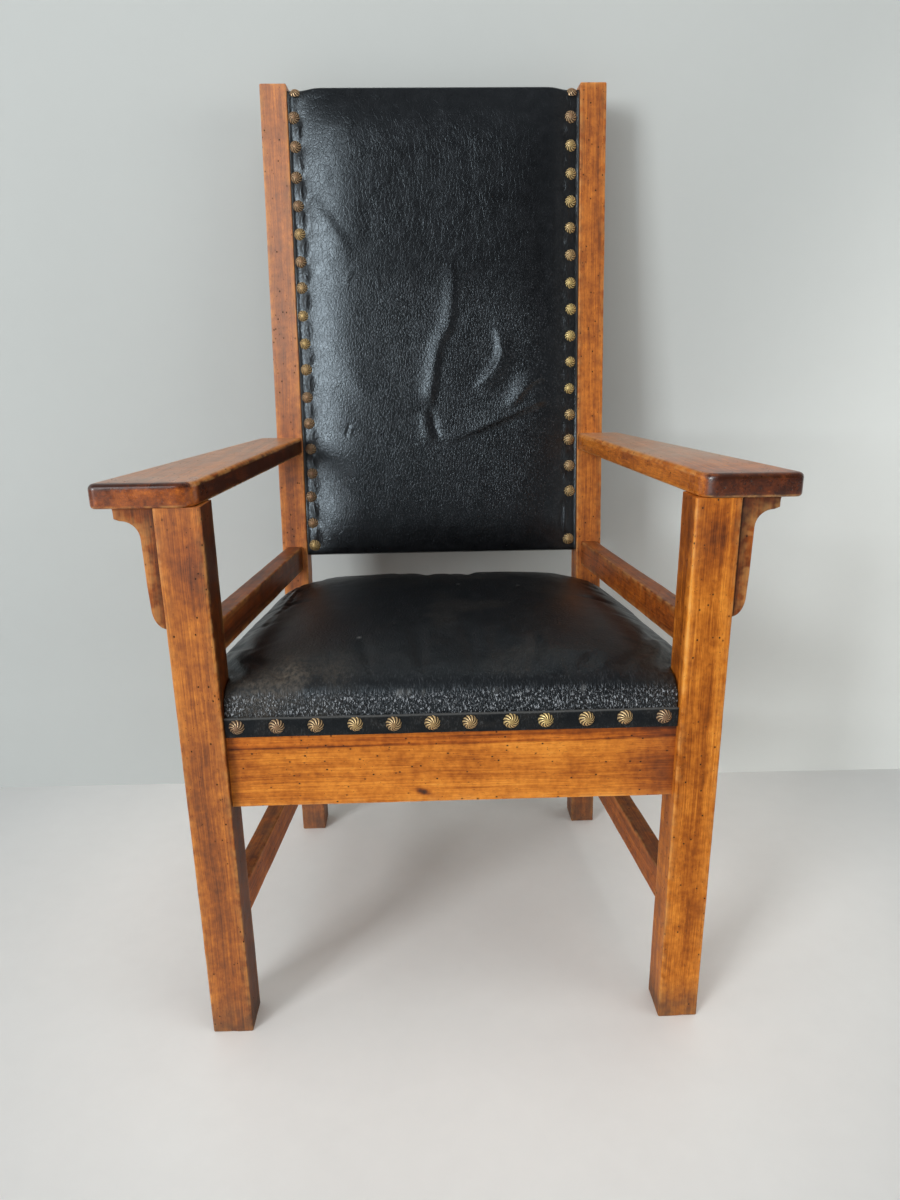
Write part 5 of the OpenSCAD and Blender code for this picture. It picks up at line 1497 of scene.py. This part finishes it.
# ---------------------------------------------------------------- nailed strips round the seat
def strip(name, a, b, out, node, places, seed, z0=408.0, h=23.0, t=2.0):
    """A flat leather strip from a to b (points at its inner face, at the bottom), out is the outward direction."""
    a, b, out = np.array(a, float), np.array(b, float), np.array(out, float)
    L = np.linalg.norm(b - a)
    d = (b - a) / L
    nu, nv = int(L / 3.0), 11
    us, vs = np.linspace(0, L, nu), np.linspace(0, h, nv)
    U, V = np.meshgrid(us, vs)
    wave = fbm(np.stack([U / 60.0, V / 40.0, 0 * U + seed], -1), seed, 3)
    edge_top = V > h - 0.1
    # nails press the strip in, and it stands up a little between them
    dent = np.zeros_like(U)
    for (nu_, nz_) in places:
        dent = np.maximum(dent, gauss(np.hypot(U - nu_, V - nz_), 8.5))
    bulge = 0.75 * (1 - dent) * gauss(V - h / 2, 8.0) + 0.25 * wave
    lift = 0.7 * gauss(V - h, 2.2) * (0.6 + wave)
    zz = z0 + V + np.where(V > h / 2, 1, 0) * (0.55 * fbm(np.stack([U / 45.0, 0 * U, 0 * U + 3], -1), seed + 1, 2)) * (V / h) \
        + np.where(V < h / 2, 1, 0) * (0.5 * fbm(np.stack([U / 38.0, 0 * U, 0 * U + 9], -1), seed + 2, 2) - 0.4 * dent) * (1 - V / h)
    outer = a[None, None, :] + d * U[..., None] + out * (t + bulge + lift)[..., None]
    outer[..., 2] = zz
    inner = a[None, None, :] + d * U[..., None] + out * (0.05 + 0.0 * lift)[..., None]
    inner[..., 2] = zz
    v = np.vstack([outer.reshape(-1, 3), inner.reshape(-1, 3)])
    n = nu * nv
    f = []
    for i in range(nv - 1):
        for j in range(nu - 1):
            q = (i * nu + j, i * nu + j + 1, (i + 1) * nu + j + 1, (i + 1) * nu + j)
            f.append(q)
            f.append(tuple(n + k for k in q[::-1]))
    rim = [j for j in range(nu)] + [i * nu + nu - 1 for i in range(1, nv)] + [(nv - 1) * nu + j for j in range(nu - 2, -1, -1)] + [i * nu for i in range(nv - 2, 0, -1)]
    for k in range(len(rim)):
        p, q = rim[k], rim[(k + 1) % len(rim)]
        f.append((q, p, n + p, n + q))
    f = outward(f, v)
    vv = np.concatenate([V.ravel(), V.ravel()])
    uu = np.concatenate([U.ravel(), U.ravel()])
    noise = fbm(np.stack([uu / 22.0, vv / 9.0, 0 * uu + seed], -1), seed + 4, 3)
    # pale is a painted highlight along the strip's top edge
    ob = make(name, v, f, {"lc": np.stack([uu, vv, 0 * uu], -1) * 1e-3 + seed, "pebble": np.full(len(v), 0.25), "crackle": np.clip(0.12 + 0.2 * noise, 0, 1),
              "dust": np.clip(0.03 + 0.12 * noise, 0, 1), "pale": np.clip(0.30 * gauss(vv - h, 0.8), 0, 1), "dark": np.zeros(len(v)), "dull": np.full(len(v), 0.1)}, STRIP_HIDE)
    sharp_by_angle(ob, 50)
    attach(ob, "root")
    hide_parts(node)
    return ob


def strips():
    strip("seat_strip_front_hide", (-259.4, 9, 408), (259.4, 9, 408), (0, -1, 0), "seat_strip_front", [(x + 259.4, z - 408) for x, z in zip(FRONT_X, FRONT_Z)], 601)
    span = 2 * (PXI - 15)
    strip("seat_strip_rear_hide", (220.4, 487, 408), (-220.4, 487, 408), (0, 1, 0), "seat_strip_rear", [(220.4 - (-span / 2 + span * i / 9), 12.5) for i in range(10)], 603)
    for s in (LEFT, RIGHT):
        a, b = np.array([SX0, SY0, 408.0]), np.array([SX1, SY1, 408.0])
        d = (b - a) / np.linalg.norm(b - a)
        out = np.array([d[1], -d[0], 0.0])
        L = np.linalg.norm(b - a)
        a2, b2 = a + out * 16 + d * 2.5, b + out * 16 - d * 1.5
        spots = [(18 + (L - 36) * i / 8 - 2.5, 12.5) for i in range(9)]
        strip(f"seat_strip_{side(s)}_hide", (s * a2[0], a2[1], 408), (s * b2[0], b2[1], 408), (s * out[0], out[1], 0), f"seat_strip_{side(s)}", spots, 605 + s)


# ---------------------------------------------------------------- webbing and hessian under the seat
def straps():
    xs = (-150.0, -50.0, 50.0, 150.0)
    ys = (105.0, 195.0, 285.0, 375.0)

    def band(name, along_y, centres, lo, hi, node):
        vs, fs, lc, base = [], [], [], 0
        for k, c in enumerate(centres):
            a0, a1 = lo(c), hi(c)
            nu, nv = int((a1 - a0) / 5.0), 9
            U, V = np.meshgrid(np.linspace(a0, a1, nu), np.linspace(-26, 26, nv))
            others = ys if along_y else xs
            lay = np.zeros_like(U)
            for m, o in enumerate(others):
                over = 1 if (k + m + (0 if along_y else 1)) % 2 == 0 else -1
                lay += over * smooth(36 - np.abs(U - o), 0, 18)
            z = 430.85 + 0.65 + 0.55 * lay + 0.12 * fbm(np.stack([U / 20.0, V / 20.0, 0 * U + k], -1), 77, 2)
            pts = np.stack([np.full_like(U, 0) + (c + V if along_y else U), (U if along_y else c + V), z], -1)
            low = pts.copy()
            low[..., 2] -= 1.0
            v = np.vstack([pts.reshape(-1, 3), low.reshape(-1, 3)])
            n = nu * nv
            for i in range(nv - 1):
                for j in range(nu - 1):
                    q = (i * nu + j, i * nu + j + 1, (i + 1) * nu + j + 1, (i + 1) * nu + j)
                    fs.append(tuple(base + t for t in q))
                    fs.append(tuple(base + n + t for t in q[::-1]))
            rim = [j for j in range(nu)] + [i * nu + nu - 1 for i in range(1, nv)] + [(nv - 1) * nu + j for j in range(nu - 2, -1, -1)] + [i * nu for i in range(nv - 2, 0, -1)]
            for t in range(len(rim)):
                p, q = rim[t], rim[(t + 1) % len(rim)]
                fs.append((base + q, base + p, base + n + p, base + n + q))
            vs.append(v)
            lc.append(np.column_stack([np.concatenate([U.ravel()] * 2), np.concatenate([V.ravel()] * 2), np.full(2 * n, k * 90.0)]) * 1e-3)
            base += 2 * n
        ob = make(name, np.vstack(vs), outward(fs, np.vstack(vs)), {"lc": np.vstack(lc)}, JUTE)
        sharp_by_angle(ob, 50)
        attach(ob, "root")
        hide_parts(node)

    band("seat_webbing_long_jute", True, xs, lambda c: 17.0, lambda c: 479.0, "seat_webbing_long")
    band("seat_webbing_cross_jute", False, ys, lambda c: -float(side_x(c + 26, 9.0)), lambda c: float(side_x(c + 26, 9.0)), "seat_webbing_cross")
    # the hessian between the webbing and the stuffing
    nu, nv = 90, 78
    ysx = np.linspace(16, 480, nv)
    grid = np.zeros((nv, nu, 3))
    for i, y in enumerate(ysx):
        hw = float(side_x(y, 8.0))
        hw = min(hw, 255.0) if y < 54 else (min(hw, 216.0) if y > 442 else hw)
        grid[i, :, 0] = np.linspace(-hw, hw, nu)
        grid[i, :, 1] = y
    grid[..., 2] = 433.3
    low = grid.copy()
    low[..., 2] = 432.75 + 0.10 * fbm(grid / 30.0, 9, 2)
    v = np.vstack([grid.reshape(-1, 3), low.reshape(-1, 3)])
    n = nu * nv
    f = []
    for i in range(nv - 1):
        for j in range(nu - 1):
            q = (i * nu + j, i * nu + j + 1, (i + 1) * nu + j + 1, (i + 1) * nu + j)
            f.append(q)
            f.append(tuple(n + t for t in q[::-1]))
    rim = [j for j in range(nu)] + [i * nu + nu - 1 for i in range(1, nv)] + [(nv - 1) * nu + j for j in range(nu - 2, -1, -1)] + [i * nu for i in range(nv - 2, 0, -1)]
    for t in range(len(rim)):
        p, q = rim[t], rim[(t + 1) % len(rim)]
        f.append((q, p, n + p, n + q))
    ob = make("seat_hessian_cloth", v, outward(f, v), {"lc": v * np.array([1e-3, 1e-3, 0])}, HESSIAN)
    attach(ob, "root")
    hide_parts("seat_hessian")


# ---------------------------------------------------------------- the cover on the rear of the back, with its tacks
def rear_cover():
    nx, nz = 80, 124
    x0, z0, z1 = BX - 3.0, BS0 + 2.1 + 3, BS1 - 2.1 - 3
    X, Z = np.meshgrid(np.linspace(-x0, x0, nx), np.linspace(z0, z1, nz))
    face = BACK_SET + HIDE + BACK_T
    fa, fb = BS0 + HIDE + 0.1, BS1 - HIDE - 0.1
    tacks = [(s * (BX - 11), fa + 14 + (fb - fa - 28) * i / 9) for s in (LEFT, RIGHT) for i in range(10)] + [(i * 70.0, z) for i in range(-2, 3) for z in (fa + 14, fb - 14)]
    dent = np.zeros_like(X)
    for (a, b) in tacks:
        dent = np.maximum(dent, gauss(np.hypot(X - a, Z - b), 9.0))
    inner = smooth(BX - np.abs(X), 34, 80) * smooth(np.minimum(Z - fa, fb - Z), 46, 110)
    sag = -2.5 * inner
    wave = 0.5 * fbm(np.stack([X / 60.0, Z / 90.0, 0 * X], -1), 501, 3) + 1.1 * inner * fbm(np.stack([X / 70.0, Z / 160.0, 0 * X], -1), 502, 2)
    for k, (a, b) in enumerate(tacks):                         # drag lines that run in from the tacks
        cx, cz = a * 0.55, b + (430 - b) * 0.12
        dist, share = to_line(X, Z, [(a, b), (cx, cz)])
        wave += 0.9 * np.exp(-share * 3.0) * smooth(share, 0.0, 0.08) * gauss(dist, 4.0)
    out = 1.5 + 0.6 * (1 - dent) + wave * (1 - 0.7 * dent) + sag
    out = np.maximum(out, 1.3 - 4.0 * inner)
    outer = back_pt(X, face + out, Z)
    inn = back_pt(X, face + out - 1.2, Z)
    v = np.vstack([outer.reshape(-1, 3), inn.reshape(-1, 3)])
    n = nx * nz
    f = []
    for i in range(nz - 1):
        for j in range(nx - 1):
            q = (i * nx + j, i * nx + j + 1, (i + 1) * nx + j + 1, (i + 1) * nx + j)
            f.append(q)
            f.append(tuple(n + t for t in q[::-1]))
    rim = [j for j in range(nx)] + [i * nx + nx - 1 for i in range(1, nz)] + [(nz - 1) * nx + j for j in range(nx - 2, -1, -1)] + [i * nx for i in range(nz - 2, 0, -1)]
    for t in range(len(rim)):
        p, q = rim[t], rim[(t + 1) % len(rim)]
        f.append((q, p, n + p, n + q))
    ob = make("back_rear_cover_cloth", v, outward(f, v), {"lc": np.column_stack([np.tile(X.ravel(), 2), np.tile(Z.ravel(), 2), np.zeros(2 * n)]) * 1e-3}, COVER)
    subdivide(ob)
    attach(ob, "root")
    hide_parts("back_rear_cover")
    # tacks: small domed heads
    vs, fs, nid, rise, base = [], [], [], [], 0
    for k, (a, b) in enumerate(tacks):
        rot = np.array(Vector(tuple(back_pt(0, 1, 0) - back_pt(0, 0, 0))).to_track_quat("Z", "Y").to_matrix())
        pts, ri = [(0, 0, 2.0)], [0.8]
        around, rings = 20, 5
        for i in range(1, rings + 1):
            t = i / rings
            for j in range(around):
                q = 2 * math.pi * j / around
                pts.append((4.5 * math.sin(t * math.pi / 2) * math.cos(q), 4.5 * math.sin(t * math.pi / 2) * math.sin(q), 2.0 * math.cos(t * math.pi / 2)))
                ri.append(0.8 - 0.5 * t)
        pts += [(0.9 * math.cos(2 * math.pi * j / around), 0.9 * math.sin(2 * math.pi * j / around), -0.2) for j in range(around)]
        ri += [0.1] * around
        pts.append((0, 0, -6.0))
        ri.append(0.1)
        fs += [(base, base + 1 + j, base + 1 + (j + 1) % around) for j in range(around)]
        for i in range(rings):
            for j in range(around):
                m = (j + 1) % around
                fs.append((base + 1 + i * around + j, base + 1 + (i + 1) * around + j, base + 1 + (i + 1) * around + m, base + 1 + i * around + m))
        last = base + 1 + rings * around
        fs += [(last + j, base + len(pts) - 1, last + (j + 1) % around) for j in range(around)]
        vs.append(np.array(pts) @ rot.T + back_pt(a, face + 1.9, b))
        nid.append(np.full(len(pts), 0.05 + 0.25 * rand(950 + k)))
        rise.append(np.array(ri))
        base += len(pts)
    ob = make("back_rear_tacks_brass", np.vstack(vs), fs, {"nid": np.concatenate(nid), "rise": np.concatenate(rise)}, BRASS)
    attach(ob, "root")
    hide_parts("back_rear_tacks")


# ---------------------------------------------------------------- build
for s in (LEFT, RIGHT):
    front_leg(s)
    rear_post(s)
    rails(s)
    arm(s)
    bracket(s)
front_rail()
rear_rail()
seat()
back_panel()
strips()
all_nails()
straps()
rear_cover()

for name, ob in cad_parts.items():
    if ob.hide_render:
        continue
    mat = STEEL if "screws" in name else (JUTE if "webbing" in name else (HAIR if "stuffing" in name else WOOD_IN))
    ob.data.materials.clear()
    ob.data.materials.append(mat)

# ---------------------------------------------------------------- floor, wall, light, camera
def stage_material(name, base, noise_amt, rough, shade=None):
    s = Shader(name)
    p = s.obj()
    n = s.noise(p, 2.2, 4.0, 0.55)
    n2 = s.noise(p, 30.0, 3.0, 0.6)
    v = s.m("ADD", s.m("MULTIPLY", n, 0.7), s.m("MULTIPLY", n2, 0.3))
    lo = tuple(c * (1 - noise_amt) for c in base)
    col = s.ramp(v, [(0.30, lo), (0.70, base)])
    # shade paints light and shade into the backdrop's colour: it is multiplied by the low colour where far falls to 0
    if shade:
        axis, a, b, low = shade
        if axis == "x":
            sep = s.t.nodes.new("ShaderNodeSeparateXYZ")
            s.t.links.new(p, sep.inputs[0])
            far = s.mr(s.m("SUBTRACT", sep.outputs[0], s.m("MULTIPLY", sep.outputs[2], 0.6)), a, b)
        else:
            far = s.mr(s.v("LENGTH", p, out="Value"), a, b, 1.0, 0.0)
        col = s.mix(far, s.mix(1.0, col, low, "MULTIPLY"), col)
    return s.set(Base_Color=col, Roughness=rough, Specular_IOR_Level=0.3)


def plane(name, corners, mat):
    me = bpy.data.meshes.new(name)
    me.from_pydata([tuple(c) for c in corners], [], [(0, 1, 2, 3)])
    me.materials.append(mat)
    ob = bpy.data.objects.new(name, me)
    bpy.context.scene.collection.objects.link(ob)
    return ob


# painted light: the floor lighter near the chair and darker away from it; painted light and shade on the wall: darker
# to the left and towards the top, lighter low on the right
FLOOR = stage_material("pale_floor", (0.95, 0.94, 0.91), 0.06, 0.45, ("r", 0.35, 1.0, (0.68, 0.695, 0.71)))
WALL = stage_material("pale_wall", (0.83, 0.85, 0.82), 0.03, 0.75, ("x", -0.2, 0.75, (0.61, 0.62, 0.625)))
plane("floor", [(-4, -4, 0), (4, -4, 0), (4, 1.2, 0), (-4, 1.2, 0)], FLOOR)
WY, WS = (636.6 - Y_MID) * 1e-3, -0.0146
plane("wall", [(-4, WY - 4 * WS, 0), (4, WY + 4 * WS, 0), (4, WY + 4 * WS, 3.2), (-4, WY - 4 * WS, 3.2)], WALL)


# a dark sheet standing in for shade in the room behind the viewer, to keep the leather's reflections of the front dark
DIM = stage_material("dim_room", (0.06, 0.06, 0.06), 0.1, 0.9)
plane("room_behind_the_viewer", [(-1.5, -3.3, 1.0), (-1.5, -3.3, 3.4), (2.6, -3.3, 3.4), (2.6, -3.3, 1.0)], DIM)


def area(name, loc, target, size, power, color, glossy=True):
    d = bpy.data.lights.new(name, "AREA")
    d.shape, d.size, d.size_y = "RECTANGLE", size[0], size[1]
    d.energy, d.color = power, color
    ob = bpy.data.objects.new(name, d)
    ob.location = loc
    ob.rotation_euler = (Vector(target) - Vector(loc)).to_track_quat("-Z", "Y").to_euler()
    ob.visible_glossy = glossy
    bpy.context.scene.collection.objects.link(ob)
    return ob


area("window", (-4.9, -5.4, 2.4), (0.0, 0.1, 0.7), (2.1, 3.2), 350.0, (0.95, 0.98, 1.0))
area("ceiling", (0.3, -0.15, 3.1), (0.2, -0.15, 0.0), (4.4, 1.5), 41.0, (1.0, 0.99, 0.97), False)
area("window_head", (-1.5, -3.2, 2.9), (-0.1, 0.2, 1.1), (1.6, 1.2), 32.0, (0.95, 0.98, 1.0))
area("left_wall", (-4.0, -0.5, 2.2), (0.0, 0.1, 0.6), (3.0, 3.0), 26.0, (1.0, 0.995, 0.98))
area("right_wall", (4.6, -2.6, 1.4), (0.0, 0.1, 0.6), (3.6, 2.4), 84.0, (1.0, 0.985, 0.95), False)

world = bpy.data.worlds.new("soft")
world.use_nodes = True
world.node_tree.nodes["Background"].inputs[0].default_value = (0.90, 0.94, 1.0, 1)
world.node_tree.nodes["Background"].inputs[1].default_value = 0.18
bpy.context.scene.world = world
bpy.context.scene.view_settings.view_transform = "Standard"
bpy.context.scene.view_settings.look = "None"
bpy.context.scene.view_settings.exposure = 0.0

cam_data = bpy.data.cameras.new("camera")
cam_data.sensor_fit = "VERTICAL"
cam_data.sensor_height = 36.0
cam_data.lens = 813.23 * 36.0 / 1200.0
cam_data.clip_start, cam_data.clip_end = 0.05, 30.0
cam = bpy.data.objects.new("camera", cam_data)
right = Vector((0.9993917640, -0.0324384034, -0.0128004747))
down = Vector((-0.0215519439, -0.2859566913, -0.9580001484))
fwd = Vector((0.0274156139, 0.9576933333, -0.2864818728))
rot = Matrix((right, -down, -fwd)).transposed().to_4x4()
cam.matrix_world = Matrix.Translation(Vector((-0.02601, -1.13948, 0.82051))) @ rot
bpy.context.scene.collection.objects.link(cam)
bpy.context.scene.camera = cam
